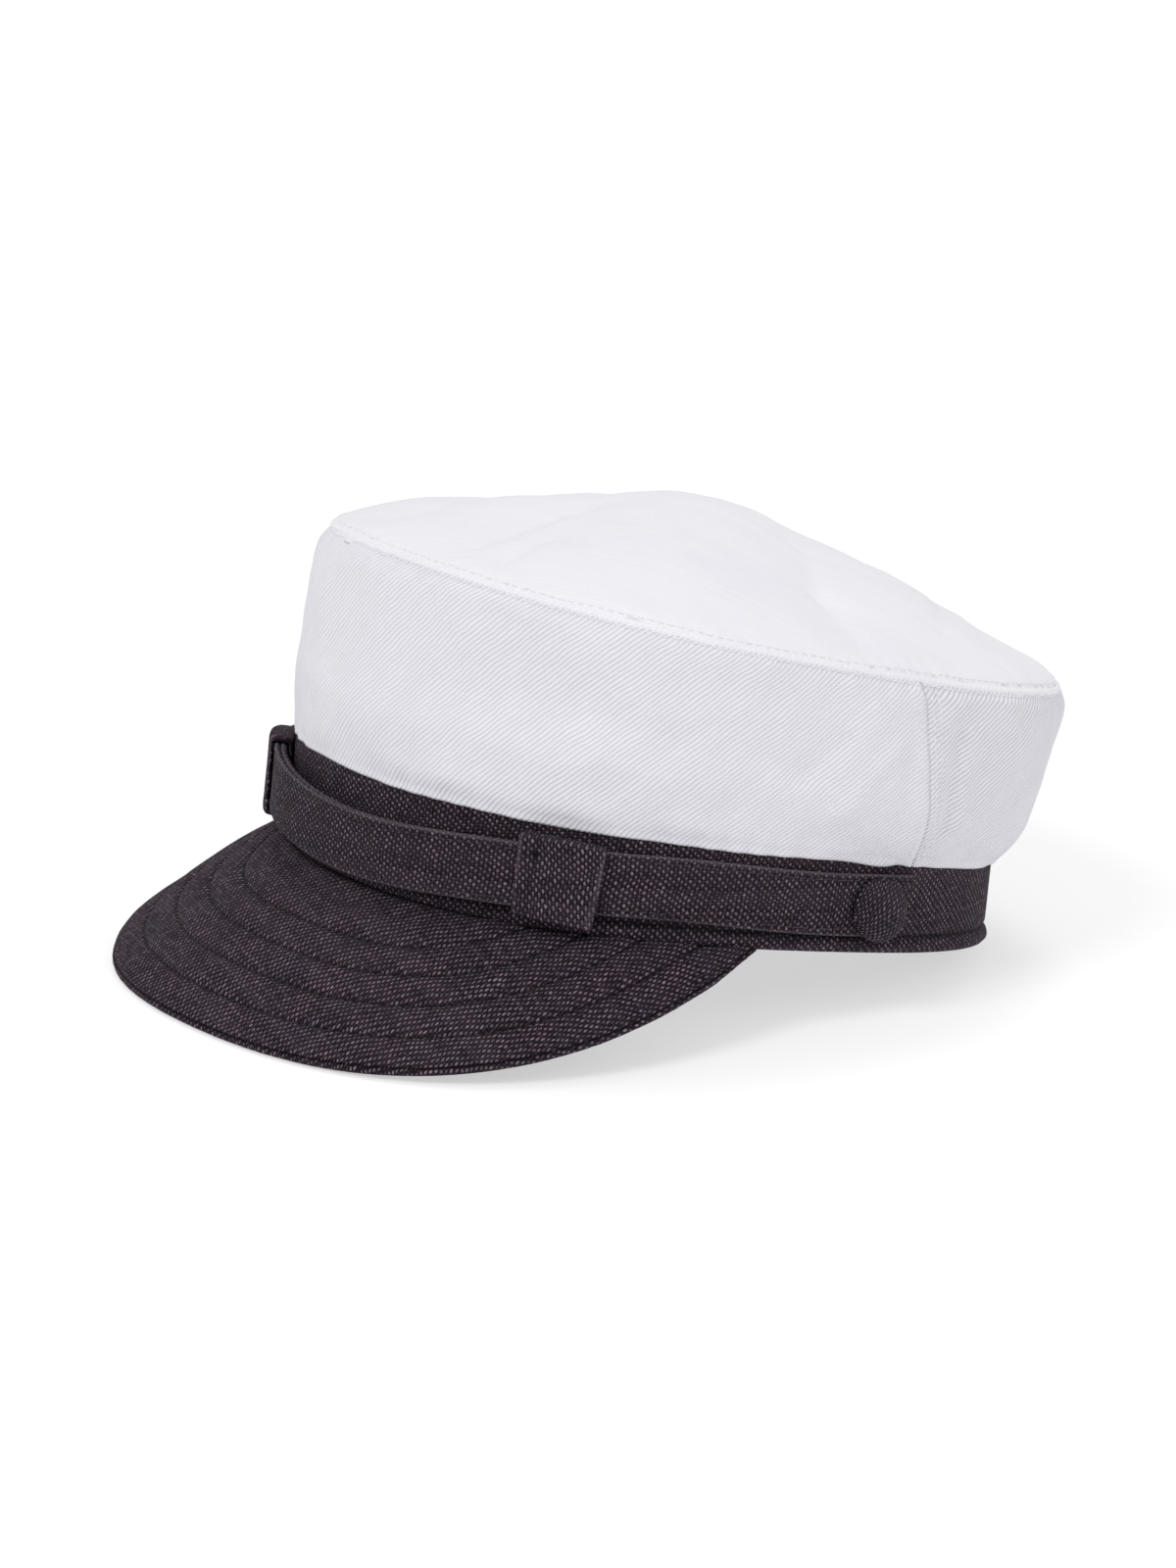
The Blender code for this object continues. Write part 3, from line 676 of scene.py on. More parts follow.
def crest_drawn(angle, out):
    """How far the cloth is drawn in at the crest, most at the front right corner."""
    corner = 1.0 + CORNER_DRAWN * corner_at(angle)
    return -(out * CREST_DRAWN_IN + UP * CREST_DRAWN_DOWN) * corner[:, None]


def soft_crest(angle, inset):
    """Places on the tip's cloth at a distance in from the crest."""
    out = outward_at(angle)
    depth = CREST_SOFTENING * bell(inset, CREST_SOFT_REACH)
    depth += CORNER_SOFTENING * bell(inset, CORNER_SOFT_REACH) * corner_at(angle)
    drawn = crest_drawn(angle, out) * bell(inset, TIP_ROUND_REACH)
    return crest_ring(angle) - out * inset + drawn - (out + UP) * (math.sqrt(0.5) * depth)[:, None]


def crest_round(angle, out, distance, reach):
    """Draws the cloth beside the crest in, so that the crest is soft."""
    under_seam = (out + UP) * (CREST_SINK * ease(1.0 - distance / (1.0 * MM)))[:, None]
    return crest_drawn(angle, out) * bell(distance, reach)[:, None] - under_seam


def across_gap(way, distance):
    """Takes the rim of a crown piece across the gap at the crest."""
    return way * (CREST_GAP * ease(1.3 - distance / (1.2 * MM)))[:, None]


def allowance(distance, width):
    """The cloth raised by the seam allowance beneath it."""
    return SEAM_RIDGE * ease((width - distance) / SEAM_RIDGE_FADE)


def make_side(node, back):
    piece = cloth_copy(node, crease=1.0)
    places, normals = in_cap(piece)
    angle, share, tall = wall_place(places)
    degrees = np.degrees(angle)
    out = outward_at(angle)
    outer = ease(0.5 + 2.0 * dot(normals, out))
    below = np.maximum(1.0 - share, 0.0) * tall
    above = share * tall
    seam = abs(abs(angle) - seam_angle(share)) * CROWN_MEAN
    # the map starts at the middle of the piece
    middle = angle - np.where(angle < 0.0, -math.pi, math.pi) if back else angle
    arc = np.interp(middle, *CREST_ARC)
    map_cloth(piece, arc * SIDE_MAP_SHARE, above)

    fade = ease(share / 0.12) * ease((1.0 - share) / 0.08)
    push = fold_sum(SIDE_FINE_FOLDS, degrees, share, SIDE_DEG_SHARE) * SIDE_FOLD_GAIN * fade
    push += (drape(places, 26.0, 1.6, 1.0) + drape(places, 10.0, 0.55, 2.0)) * fade
    push += puckers(above, seam / MM, 15.0, 7.0, 0.16, 2.0) * fade
    push += puckers(arc, below / MM - 6.0, 12.0, 5.0, 0.16, 1.0)
    push += puckers(arc, above / MM, 13.0, 5.0, 0.30, 4.0)
    # raised seam allowances with a row of stitches drawn in beside them
    ridge = np.maximum(allowance(below, SEAM_STITCH_OFF), allowance(seam, 2.0 * SEAM_STITCH_OFF))
    ridge -= 0.16 * MM * bell(below - CREST_STITCH_OFF, STITCH_DENT_WIDTH)
    ridge -= 0.12 * MM * bell(seam, 0.5 * MM) * fade
    for row in (1.0, 2.0):
        ridge -= 0.14 * MM * bell(seam - row * SEAM_STITCH_OFF, STITCH_DENT_WIDTH) * fade
    places += out * (push + ridge * outer)[:, None]
    # the top meets the tip and the bottom hangs over the band
    places += across_gap(UP - 0.2 * out, below)
    places += crest_round(angle, out, below, SIDE_ROUND_REACH)
    dip = 1.0 + 0.3 * np.sin(arc / (9.0 * MM))
    dip += sum(amount * bell(degrees - at, spread) for at, spread, amount in LIP_DIPS)
    lip = ease(1.0 - above / (2.2 * MM)) * outer
    places += (out * 0.5 - UP * 0.9) * (SIDE_OVERHANG * lip * dip)[:, None]
    # the two halves meet at the side seams
    closer = ease(1.0 - seam / (1.2 * MM)) * SEAM_CLOSED_BY * (-1.0 if back else 1.0)
    places += backward_at(angle) * closer[:, None]
    put_places(piece, places)
    finish_piece(piece, white_back if back else white_front, "white_twill", node)
    return piece


def make_tip():
    piece = cloth_copy("crown_tip", crease=1.0)
    places, normals = in_cap(piece)
    across = places[:, 0]
    ahead = places[:, 1] - CROWN_SHIFT
    angle = ring_angle(places, CROWN_HALF, CROWN_SHIFT)
    edge = crest_ring(angle)
    inside = np.hypot(edge[:, 0], edge[:, 1] - CROWN_SHIFT) - np.hypot(across, ahead)
    arc = np.interp(angle, *CREST_ARC)
    out = outward_at(angle)
    outer = ease(0.5 + 2.0 * normals[:, 2])
    map_cloth(piece, across * TIP_MAP_SHARE, ahead * TIP_MAP_SHARE)

    fade = ease(inside / (8.0 * MM))
    push = fold_sum(TIP_FINE_FOLDS, across / CROWN_HALF[0], ahead / CROWN_HALF[1], 1.0)
    push = push * TIP_FOLD_GAIN * fade
    push += (drape(places, 30.0, 1.3, 5.0) + drape(places, 11.0, 0.42, 6.0)) * fade
    push += puckers(arc, inside / MM - 5.0, 9.0, 4.0, 0.14, 3.0)
    ridge = allowance(inside, SEAM_STITCH_OFF)
    ridge -= 0.14 * MM * bell(inside - CREST_STITCH_OFF, STITCH_DENT_WIDTH)
    places += UP * (push + ridge * outer)[:, None]
    places += across_gap(out - 0.2 * UP, inside)
    places += crest_round(angle, out, inside, TIP_ROUND_REACH)
    put_places(piece, places)
    finish_piece(piece, white_tip, "white_twill", "crown_tip")
    return piece


side_front = make_side("crown_side_front", False)
side_back = make_side("crown_side_back", True)
tip = make_tip()


# The crest's strip of turned cloth: cuts round the crown and round its section, its radius, how far
# it is turned up to at its middle and to both sides of that, and how it stands on the cloth
CREST_SEAM_CUTS = (250, 24)
CREST_SEAM_REACH = 0.8 * MM
CREST_SEAM_MIDDLE_DEG = 45.0
CREST_SEAM_SPAN_DEG = 76.0
CREST_SLIT_DEG = 28.0
CREST_SEAM_LIFT = 0.10 * MM
CREST_SEAM_SINK = 0.28 * MM
CREST_SEAM_PROBE = 3.5 * MM
CREST_SEAM_HIDDEN = 0.4 * MM


def trees_of(pieces):
    return [BVHTree.FromObject(piece, bpy.context.evaluated_depsgraph_get()) for piece in pieces]


def make_crest_seam(*walls):
    """The turned cloth where tip and sides are sewn together, laid close over both."""
    bpy.ops.object.select_all(action="DESELECT")
    around, section = CREST_SEAM_CUTS
    bpy.ops.mesh.primitive_torus_add(major_segments=around, minor_segments=section,
                                     major_radius=CROWN_HALF[0], minor_radius=CREST_SEAM_REACH)
    piece = bpy.context.active_object
    piece.name = "crest_seam"
    trees = trees_of(walls)
    angle = 2.0 * math.pi * np.arange(around) / around + math.pi / 2
    angle = np.where(angle > math.pi, angle - 2.0 * math.pi, angle)
    turned = 360.0 * np.arange(section) / section
    turned = np.where(turned > CREST_SEAM_MIDDLE_DEG + 180.0, turned - 360.0, turned)
    out = outward_at(angle)
    centre = soft_crest(angle, 0.0) - (out + UP) * CREST_SEAM_REACH
    ways = (out[:, None, :] * np.cos(np.radians(turned))[None, :, None]
            + UP * np.sin(np.radians(turned))[None, :, None])
    turned -= CREST_SEAM_MIDDLE_DEG
    shown = abs(turned) <= CREST_SEAM_SPAN_DEG
    radius = np.full((around, section), CREST_SEAM_HIDDEN)
    for i in range(around):
        for j in np.flatnonzero(shown):
            start = Vector(to_row(centre[i] + ways[i, j] * CREST_SEAM_PROBE))
            inward = Vector(-ways[i, j] @ turn.T)
            hits = [tree.ray_cast(start, inward, CREST_SEAM_PROBE)[3] for tree in trees]
            hits = [hit for hit in hits if hit is not None]
            radius[i, j] = CREST_SEAM_PROBE - min(hits) if hits else np.nan
    # the slit between the pieces is bridged from the cloth beside it
    known = shown & (abs(turned) > CREST_SLIT_DEG)
    order = np.argsort(turned)
    for i in range(around):
        row = radius[i, order]
        good = known[order] & ~np.isnan(row)
        filled = np.interp(turned[order], turned[order][good], row[good])
        radius[i, order] = np.where(shown[order], filled, row)
    for blend in (np.median, np.median, np.mean):
        beside = np.stack([np.roll(radius, step, axis=0) for step in (-2, -1, 0, 1, 2)])
        radius = np.where(shown[None, :], blend(beside, axis=0), radius)
    proud = np.cos(np.radians(90.0 * turned / CREST_SEAM_SPAN_DEG))
    lift = CREST_SEAM_LIFT * proud - CREST_SEAM_SINK * (1.0 - proud)
    radius += np.where(shown, lift, 0.0)[None, :]
    put_places(piece, (centre[:, None, :] + ways * radius[:, :, None]).reshape(-1, 3))
    bpy.ops.object.shade_smooth()
    arc = np.interp(angle, *CREST_ARC)
    up = wall_height(angle)[:, None] + CREST_SEAM_REACH * turned / CREST_SEAM_MIDDLE_DEG
    map_cloth(piece, np.repeat(arc * SIDE_MAP_SHARE, section), up.ravel())
    finish_piece(piece, white_tip, "white_twill")


make_crest_seam(side_front, side_back, tip)


# Band, straps, loops and buttons

HEM_TALL = 3.8 * MM
HEM_GROOVE_UP = 4.5 * MM
NAPE_GATHERS_DEG = 112.0
UNDER_STRAP_SHADE = 0.62
UNDER_STRAP_SPREAD_DEG = 58.0
STRAP_STITCH_OFF = 1.9 * MM
STRAP_FOLD = 0.12 * MM
STRAP_END_DROP = 1.7 * MM
STRAP_END_SLANT = 5.5 * MM
STRAP_CUTS = (11, 8.0 * MM)
BAND_CUTS = (4, 7.0 * MM)


def band_place(places):
    """Angle, length round the hem and height over the hem at places on the band."""
    angle = ring_angle(places, HEAD_HALF, 0.0)
    return angle, np.interp(angle, *HEM_ARC), places[:, 2] - hem_ring(angle)[:, 2]


def cut_across(cuts, least):
    """Returns a step that cuts the long upright edges of a strap or loop into short ones."""
    def step(piece):
        corners = vectors_of(piece)

        def upright(first, second):
            run = corners[second] - corners[first]
            length = np.linalg.norm(run)
            return length > least and abs(run[2]) > 0.8 * length
        cut_edges(piece, upright, cuts)
    return step


def make_band():
    piece = cloth_copy("band", rows=cut_across(*BAND_CUTS), level=2, crease=0.6)
    places, normals = in_cap(piece)
    angle, arc, up = band_place(places)
    map_cloth(piece, arc, up)
    out = outward_at(angle)
    outer = ease(3.0 * dot(normals, out))
    from_nape = np.degrees(abs(angle)) - NAPE_GATHERS_DEG
    push = drape(places, 16.0, 0.30, 8.0) + puckers(arc + 1.4 * up, from_nape, 8.0, 9.0, 0.22, 5.0)
    push *= ease((up - 2.0 * MM) / (5.0 * MM)) * ease((24.0 * MM - up) / (4.0 * MM))
    # the rolled hem, with a groove above it
    push += 0.30 * MM * ease((HEM_TALL - up) / (0.8 * MM)) * ease(up / (1.5 * MM)) * outer
    push -= 0.55 * MM * bell(up - HEM_GROOVE_UP, 0.8 * MM) * outer
    push += drape(places, 2.2, 0.10, 21.0) * ease((4.0 * MM - up) / (0.8 * MM)) * outer
    places += out * push[:, None]
    put_places(piece, places)
    # painted shade in the groove above the hem, and a painted shadow on the band under the straps at
    # the front
    shade = 0.85 * bell(up - HEM_GROOVE_UP, 0.6 * MM)
    under_strap = ease((up - 2.4 * MM) / (1.6 * MM)) * ease((9.0 * MM - up) / (1.5 * MM))
    under_strap *= bell(np.degrees(angle), UNDER_STRAP_SPREAD_DEG)
    mark(piece, "shade", np.maximum(shade, UNDER_STRAP_SHADE * under_strap) * outer)
    finish_piece(piece, linen, "dark_linen", "band")


def strap_middle(angle):
    return STRAP_HEIGHT - STRAP_FRONT_DROP * bell(np.degrees(angle), STRAP_DROP_DEG)


def strap_end_drop(angle):
    """How far the straps sink towards their buttons."""
    return STRAP_END_DROP * ease((np.degrees(abs(angle)) - 58.0) / 30.0)


def over_edges(places, normals, angle, up):
    """Distance up the cloth that runs on over the long edges of a strap or loop."""
    out = outward_at(angle)
    stand = dot(places - hem_ring(angle), out)
    turns = np.stack((np.ones(len(angle)), np.cos(angle), np.sin(angle), np.cos(2.0 * angle),
                      up / MM, up / MM * np.cos(angle)), axis=-1)
    face = dot(normals, out) > 0.8
    fit = np.linalg.lstsq(turns[face], stand[face], rcond=None)[0]
    depth = np.maximum(turns @ fit - stand, 0.0)
    return up + depth * np.where(up > strap_middle(angle), 1.0, -1.0)


def make_strap(node):
    piece = cloth_copy(node, rows=cut_across(*STRAP_CUTS), level=2, crease=0.45)
    places, normals = in_cap(piece)
    angle, arc, up = band_place(places)
    map_cloth(piece, arc, over_edges(places, normals, angle, up))
    out = outward_at(angle)
    outer = ease(3.0 * dot(normals, out))
    off = STRAP_WIDTH / 2 - abs(up - strap_middle(angle))
    relief = STRAP_FOLD * ease((STRAP_STITCH_OFF - off) / (0.5 * MM))
    relief -= 0.22 * MM * bell(off - STRAP_STITCH_OFF, 0.42 * MM)
    relief += drape(places, 6.0, 0.12, 9.0)
    relief += drape(places, 1.6, 0.08, 19.0) * ease((1.2 * MM - off) / (0.6 * MM))
    push = drape(places, 18.0, 0.10, 10.0)
    # the buttoned end is cut at a slant, and the strap sinks a little towards it
    low = 0.5 - (up - strap_middle(angle)) / STRAP_WIDTH
    slant = ease((np.degrees(abs(angle)) - 96.0) / 9.0) * np.clip(low, 0.0, 1.0)
    places += out * (relief * outer + push)[:, None]
    places -= backward_at(angle) * (STRAP_END_SLANT * slant)[:, None]
    places -= UP * strap_end_drop(angle)[:, None]
    put_places(piece, places)
    # painted highlight along the strap's folded edges, and painted shade along its stitched grooves
    mark(piece, "painted_edge_highlight", 0.8 * bell(off - 0.15 * MM, 0.45 * MM) * outer)
    mark(piece, "shade", 0.35 * bell(off - STRAP_STITCH_OFF, 0.4 * MM) * outer)
    finish_piece(piece, linen, "dark_linen", node)
    return piece


# The loops: height, the strip that is sewn down at the front, how far they reach back at the middle
# and more at the top, how far they hang at the back, and how far each stands out
KEEPER_TALL = 24.0 * MM
KEEPER_STRIP = 4.4 * MM
KEEPER_GROW = 2.4 * MM
KEEPER_LEAN = 0.9 * MM
KEEPER_HANG = 1.9 * MM
KEEPER_PUFF = {"keeper_left": 0.4 * MM, "keeper_right": 1.1 * MM}


def make_keeper(node):
    piece = cloth_copy(node, rows=cut_across(*STRAP_CUTS), level=2, crease=0.3)
    places, normals = in_cap(piece)
    angle, arc, up = band_place(places)
    out = outward_at(angle)
    outer = ease(3.0 * dot(normals, out))
    centre = np.interp(math.radians(KEEPER_CENTRE_DEG), *HEM_ARC)
    front = abs(arc) - centre + KEEPER_WIDTH / 2
    high = up - strap_middle(angle)
    rise = high / (0.5 * KEEPER_TALL)
    # the loop is sewn down along a narrow strip at its front, with a small hole at the seam
    seam = front - KEEPER_STRIP
    strip = ease(-seam / (0.8 * MM))
    hole = bell(np.hypot(seam, high - 0.27 * KEEPER_TALL), 0.9 * MM)
    relief = -0.45 * MM * bell(seam, 0.55 * MM) - 0.35 * MM * strip - 0.8 * MM * hole
    relief += KEEPER_PUFF[node] * bell(front - 0.6 * (KEEPER_WIDTH + KEEPER_STRIP), 7.0 * MM)
    relief += drape(places, 5.0, 0.12, 11.0)
    grow = (KEEPER_GROW + KEEPER_LEAN * rise) * ease(seam / (KEEPER_WIDTH - KEEPER_STRIP))
    map_cloth(piece, arc + np.sign(angle) * grow, over_edges(places, normals, angle, up))
    places += out * (relief * outer)[:, None] + backward_at(angle) * grow[:, None]
    hang = KEEPER_HANG * np.clip(front / KEEPER_WIDTH, 0.0, 1.0) * np.where(rise < 0.0, 1.15, 0.9)
    places -= UP * (hang * np.minimum(abs(rise) / 0.75, 1.0))[:, None]
    put_places(piece, places)
    # painted highlight along the loop's folded edges, and painted shade in the hole and along the
    # seam
    edge = np.minimum(abs(front - 0.2 * MM), abs(front - KEEPER_WIDTH + 0.2 * MM))
    mark(piece, "painted_edge_highlight", 0.7 * bell(edge, 0.45 * MM) * outer)
    mark(piece, "shade", np.minimum(1.2 * hole + 0.55 * bell(seam, 0.5 * MM), 1.0) * outer)
    finish_piece(piece, linen_loop, "dark_linen", node)


BUTTON_SEWN = 0.6 * MM


def make_button(node):
    piece = cloth_copy(node, crease=0.0)
    places, _ = in_cap(piece)
    angle, arc, up = band_place(places)
    out = outward_at(angle)
    # the cloth is drawn round the domed face
    across = arc - 0.5 * (arc.min() + arc.max())
    over = up - 0.5 * (up.min() + up.max())
    depth = dot(places - places.mean(axis=0), out)
    depth = depth.max() - depth
    flat = np.hypot(across, over) + 0.01 * MM
    round_it = (flat + depth) / flat
    map_cloth(piece, across * round_it, over * round_it)
    sewn = ease((depth / depth.max() - 0.45) / 0.3)
    places -= out * (BUTTON_SEWN * sewn)[:, None]
    put_places(piece, places)
    finish_piece(piece, linen_button, "dark_linen", node)


make_band()
straps = [make_strap(node) for node in ("strap_left", "strap_right")]
for loop in ("keeper_left", "keeper_right"):
    make_keeper(loop)
for button in ("button_left", "button_right"):
    make_button(button)


# Peak

PEAK_OUTLINE_POWER = 3.4
PEAK_TAPER_POWER = 1.62
PEAK_FAN = 0.85
PEAK_SLOPES_DEG = (41.1, 35.7, 41.5)
PEAK_EDGE_RADIUS = 2.25 * MM
PEAK_ROW_STEP = 10.5 * MM
PEAK_ROWS = tuple(PEAK_ROW_STEP * row for row in range(1, NEEDLE_ROWS + 1))
PEAK_RIB = 0.75 * MM
PEAK_GROOVE_DEG = 40.0
PEAK_BINDING_DEG = 30.0
PEAK_SEAT_LIFT = 0.5 * MM
PEAK_SEAT_DEG = 57.0
PEAK_TUCK_FROM_DEG = 66.0
PEAK_TUCK_UP = 1.9 * MM
PEAK_TUCK_IN = 1.0 * MM

# Places of the peak that are worked on at a time
BLOCK = 4000


def peak_frame(angle):
    """Root place, direction ahead, upward direction and reach of the peak at the angles."""
    share = np.clip(abs(angle) / math.radians(PEAK_HALF_DEG), 0.0, 1.0)
    front, left, right = PEAK_SLOPES_DEG
    slope = np.radians(front + (np.where(angle > 0.0, left, right) - front) * share ** 2)
    s = np.sin(angle * PEAK_FAN)
    c = np.cos(angle * PEAK_FAN)
    ahead = np.stack((s * np.cos(slope), -c * np.cos(slope), -np.sin(slope)), axis=-1)
    upward = np.stack((s * np.sin(slope), -c * np.sin(slope), np.cos(slope)), axis=-1)
    reach = PEAK_REACH * (1.0 - share ** PEAK_OUTLINE_POWER) ** PEAK_TAPER_POWER
    return hem_ring(angle), ahead, upward, reach


def peak_edge():
    """The line along the middle of the peak's rolled edge, with its upward and inward directions."""
    angle = np.radians(np.linspace(-76.0, 76.0, 241))
    root, ahead, upward, reach = peak_frame(angle)
    line = root + ahead * (reach - PEAK_EDGE_RADIUS)[:, None]
    along = np.gradient(line, axis=0)
    along /= np.linalg.norm(along, axis=1)[:, None]
    inward = np.cross(upward, along)
    inward /= np.linalg.norm(inward, axis=1)[:, None]
    return line, upward, inward


PEAK_EDGE = peak_edge()


def peak_distance(places):
    """Distance of places in from the edge line, rise over it, both together, and the upward way."""
    line, upward, inward = PEAK_EDGE
    nearest = np.empty(len(places), int)
    for start in range(0, len(places), BLOCK):
        gaps = np.linalg.norm(places[start:start + BLOCK, None, :] - line[None, :, :], axis=2)
        nearest[start:start + BLOCK] = np.argmin(gaps, axis=1)
    away = places - line[nearest]
    return (dot(away, inward[nearest]), dot(away, upward[nearest]),
            np.linalg.norm(away, axis=1), upward[nearest])


def unrolled_root():
    """The hem line laid flat with the peak: angles, places in the cloth and directions ahead."""
    angle = np.radians(np.linspace(-86.0, 86.0, 345))
    root, ahead, _, _ = peak_frame(angle)
    slope = np.arcsin(-ahead[:, 2])
    run = np.diff(root, axis=0)
    length = np.linalg.norm(run, axis=1)
    level = np.arctan2(run[:, 1], run[:, 0]) * np.cos(0.5 * (slope[1:] + slope[:-1]))
    across = np.concatenate(((0.0,), np.cumsum(length * np.cos(level))))
    over = -np.concatenate(((0.0,), np.cumsum(length * np.sin(level))))
    middle = len(angle) // 2
    fan = angle * PEAK_FAN * np.cos(slope)
    flat_ahead = np.stack((np.sin(fan), np.cos(fan)), axis=-1)
    return angle, np.stack((across - across[middle], over - over[middle]), axis=-1), flat_ahead


def unroll_peak(places):
    """Where each place of the peak lies in the flat cloth, and the cloth's direction ahead there."""
    angle, flat_root, flat_ahead = unrolled_root()
    root, ahead, upward, _ = peak_frame(angle)
    side = np.cross(ahead, upward)
    flat = np.empty((len(places), 2))
    way = np.empty((len(places), 2))
    for start in range(0, len(places), BLOCK):
        block = places[start:start + BLOCK]
        miss = block @ side.T - dot(root, side)
        sign = miss[:, :-1] * miss[:, 1:] <= 0.0
        nearest = np.argmin(abs(miss[:, :-1]), axis=1)
        here = np.where(sign.any(axis=1), np.argmax(sign, axis=1), nearest)
        rows = np.arange(len(block))
        low = miss[rows, here]
        high = miss[rows, here + 1]
        part = np.clip(low / np.where(low == high, 1.0, low - high), 0.0, 1.0)[:, None]
        at_root, at_ahead, at_flat, at_way = (
            table[here] * (1.0 - part) + table[here + 1] * part
            for table in (root, ahead, flat_root, flat_ahead))
        way[start:start + BLOCK] = at_way
        flat[start:start + BLOCK] = at_flat + at_way * dot(block - at_root, at_ahead)[:, None]
    return flat, way


def cut_peak(piece):
    """Cuts the rows that run along the peak's upper face once more."""
    corners, normals = in_cap(piece)
    _, ahead, upward, _ = peak_frame(ring_angle(corners, HEAD_HALF, 0.0))
    top = dot(normals, upward) > 0.35

    def along_rows(first, second):
        run = corners[second] - corners[first]
        length = np.linalg.norm(run)
        return (top[first] and top[second] and length > 4.0 * MM
                and abs(run @ ahead[first]) > 0.9 * length)
    cut_edges(piece, along_rows, 1)


def make_peak():
    piece = cloth_copy("peak", rows=cut_peak, crease=0.5)
    places, normals = in_cap(piece)
    inward, rise, away, upward = peak_distance(places)
    # the map runs on round the rolled edge
    over = rise + 1.2 * MM
    roll = np.arctan2(-inward, over)
    roll = np.where(roll < -math.pi / 2, roll + 2.0 * math.pi, roll)
    extra = np.where(roll > 1.0, math.pi, 0.0)
    extra = PEAK_EDGE_RADIUS * np.where(inward < 0.0, roll - np.sin(roll), extra)
    flat, way = unroll_peak(places)
    flat += way * extra[:, None]
    map_cloth(piece, flat[:, 0], flat[:, 1])
    # soft ribs between the needle rows
    top = ease(2.5 * dot(normals, upward) - 0.2)
    from_edge = inward + PEAK_EDGE_RADIUS
    band_fade = ease((from_edge - 1.0 * MM) / (4.0 * MM))
    rows = np.arange(NEEDLE_ROWS + 2)
    row = np.interp(from_edge, PEAK_ROW_STEP * rows, rows)
    rib = PEAK_RIB * (1.0 - abs(2.0 * (row - np.floor(row)) - 1.0) ** 2.6)
    relief = (rib + drape(places, 14.0, 0.35, 12.0)) * band_fade
    for stitched in PEAK_ROWS:
        relief -= 0.35 * MM * bell(from_edge - stitched, STITCH_DENT_WIDTH)
    places += upward * (relief * top)[:, None]
    # the groove where the binding is folded over the edge
    roll = np.degrees(np.arctan2(over, -inward))
    near = ease((3.4 * MM - away) / (0.8 * MM))
    groove = bell(roll - PEAK_GROOVE_DEG, 9.0)
    binding = 0.15 * MM + drape(places, 2.2, 0.14, 22.0)
    push = binding * ease((PEAK_BINDING_DEG - roll) / 20.0) - 0.60 * MM * groove
    places += normals * (push * near)[:, None]
    # the root sits close under the hem, and the ends are tucked up behind it
    angle = ring_angle(places, HEAD_HALF, 0.0)
    degrees = np.degrees(abs(angle))
    tuck = ease((degrees - PEAK_TUCK_FROM_DEG) / (PEAK_HALF_DEG - PEAK_TUCK_FROM_DEG))
    seat = ease((from_edge - 5.0 * MM) / (7.0 * MM)) * bell(degrees - PEAK_SEAT_DEG, 12.0)
    places += (UP * PEAK_TUCK_UP - outward_at(angle) * PEAK_TUCK_IN) * tuck[:, None]
    places += UP * (PEAK_SEAT_LIFT * seat)[:, None]
    put_places(piece, places)
    # painted shade in the groove where the binding is folded over; the distance from the edge below
    # places the needle rows' lines of painted shade
    mark(piece, "shade", 0.95 * groove * near)
    mark(piece, "from_edge", np.where(top > 0.5, from_edge / MM, 0.0))
    finish_piece(piece, linen_peak, "dark_linen", "peak")
    return piece


peak = make_peak()


# Stitches

STITCH_STEP = 2.7 * MM
STITCH_LENGTH = 2.1 * MM
STITCH_RADIUS = 0.24 * MM
LONGEST_SHARE = 1.6
SNAP_REACH = 6.0 * MM


def one_stitch():
    """Places and faces of a single stitch, lying along X with its top at +Z."""
    bpy.ops.object.select_all(action="DESELECT")
    bpy.ops.mesh.primitive_uv_sphere_add(segments=6, ring_count=6, radius=1.0)
    seed = bpy.context.active_object
    bpy.ops.object.mode_set(mode="EDIT")
    bpy.ops.mesh.select_all(action="SELECT")
    bpy.ops.transform.rotate(value=math.pi / 2, orient_axis="Y", center_override=(0.0, 0.0, 0.0))
    bpy.ops.object.mode_set(mode="OBJECT")
    places = vectors_of(seed)
    faces = [tuple(face.vertices) for face in seed.data.polygons]
    bpy.data.objects.remove(seed, do_unlink=True)
    return places, faces


STITCH_PLACES, STITCH_FACES = one_stitch()


def surface_of(*pieces):
    """Returns a step that lays a place on the nearest cloth of the pieces, with its normal."""
    trees = trees_of(pieces)

    def snap(place, normal):
        best = None
        for tree in trees:
            start = Vector(place + normal * SNAP_REACH)
            hit, face_normal, _, distance = tree.ray_cast(start, Vector(-normal), 2.0 * SNAP_REACH)
            if hit is not None and (best is None or distance < best[2]):
                best = (np.array(hit), np.array(face_normal), distance)
        return best
    return snap


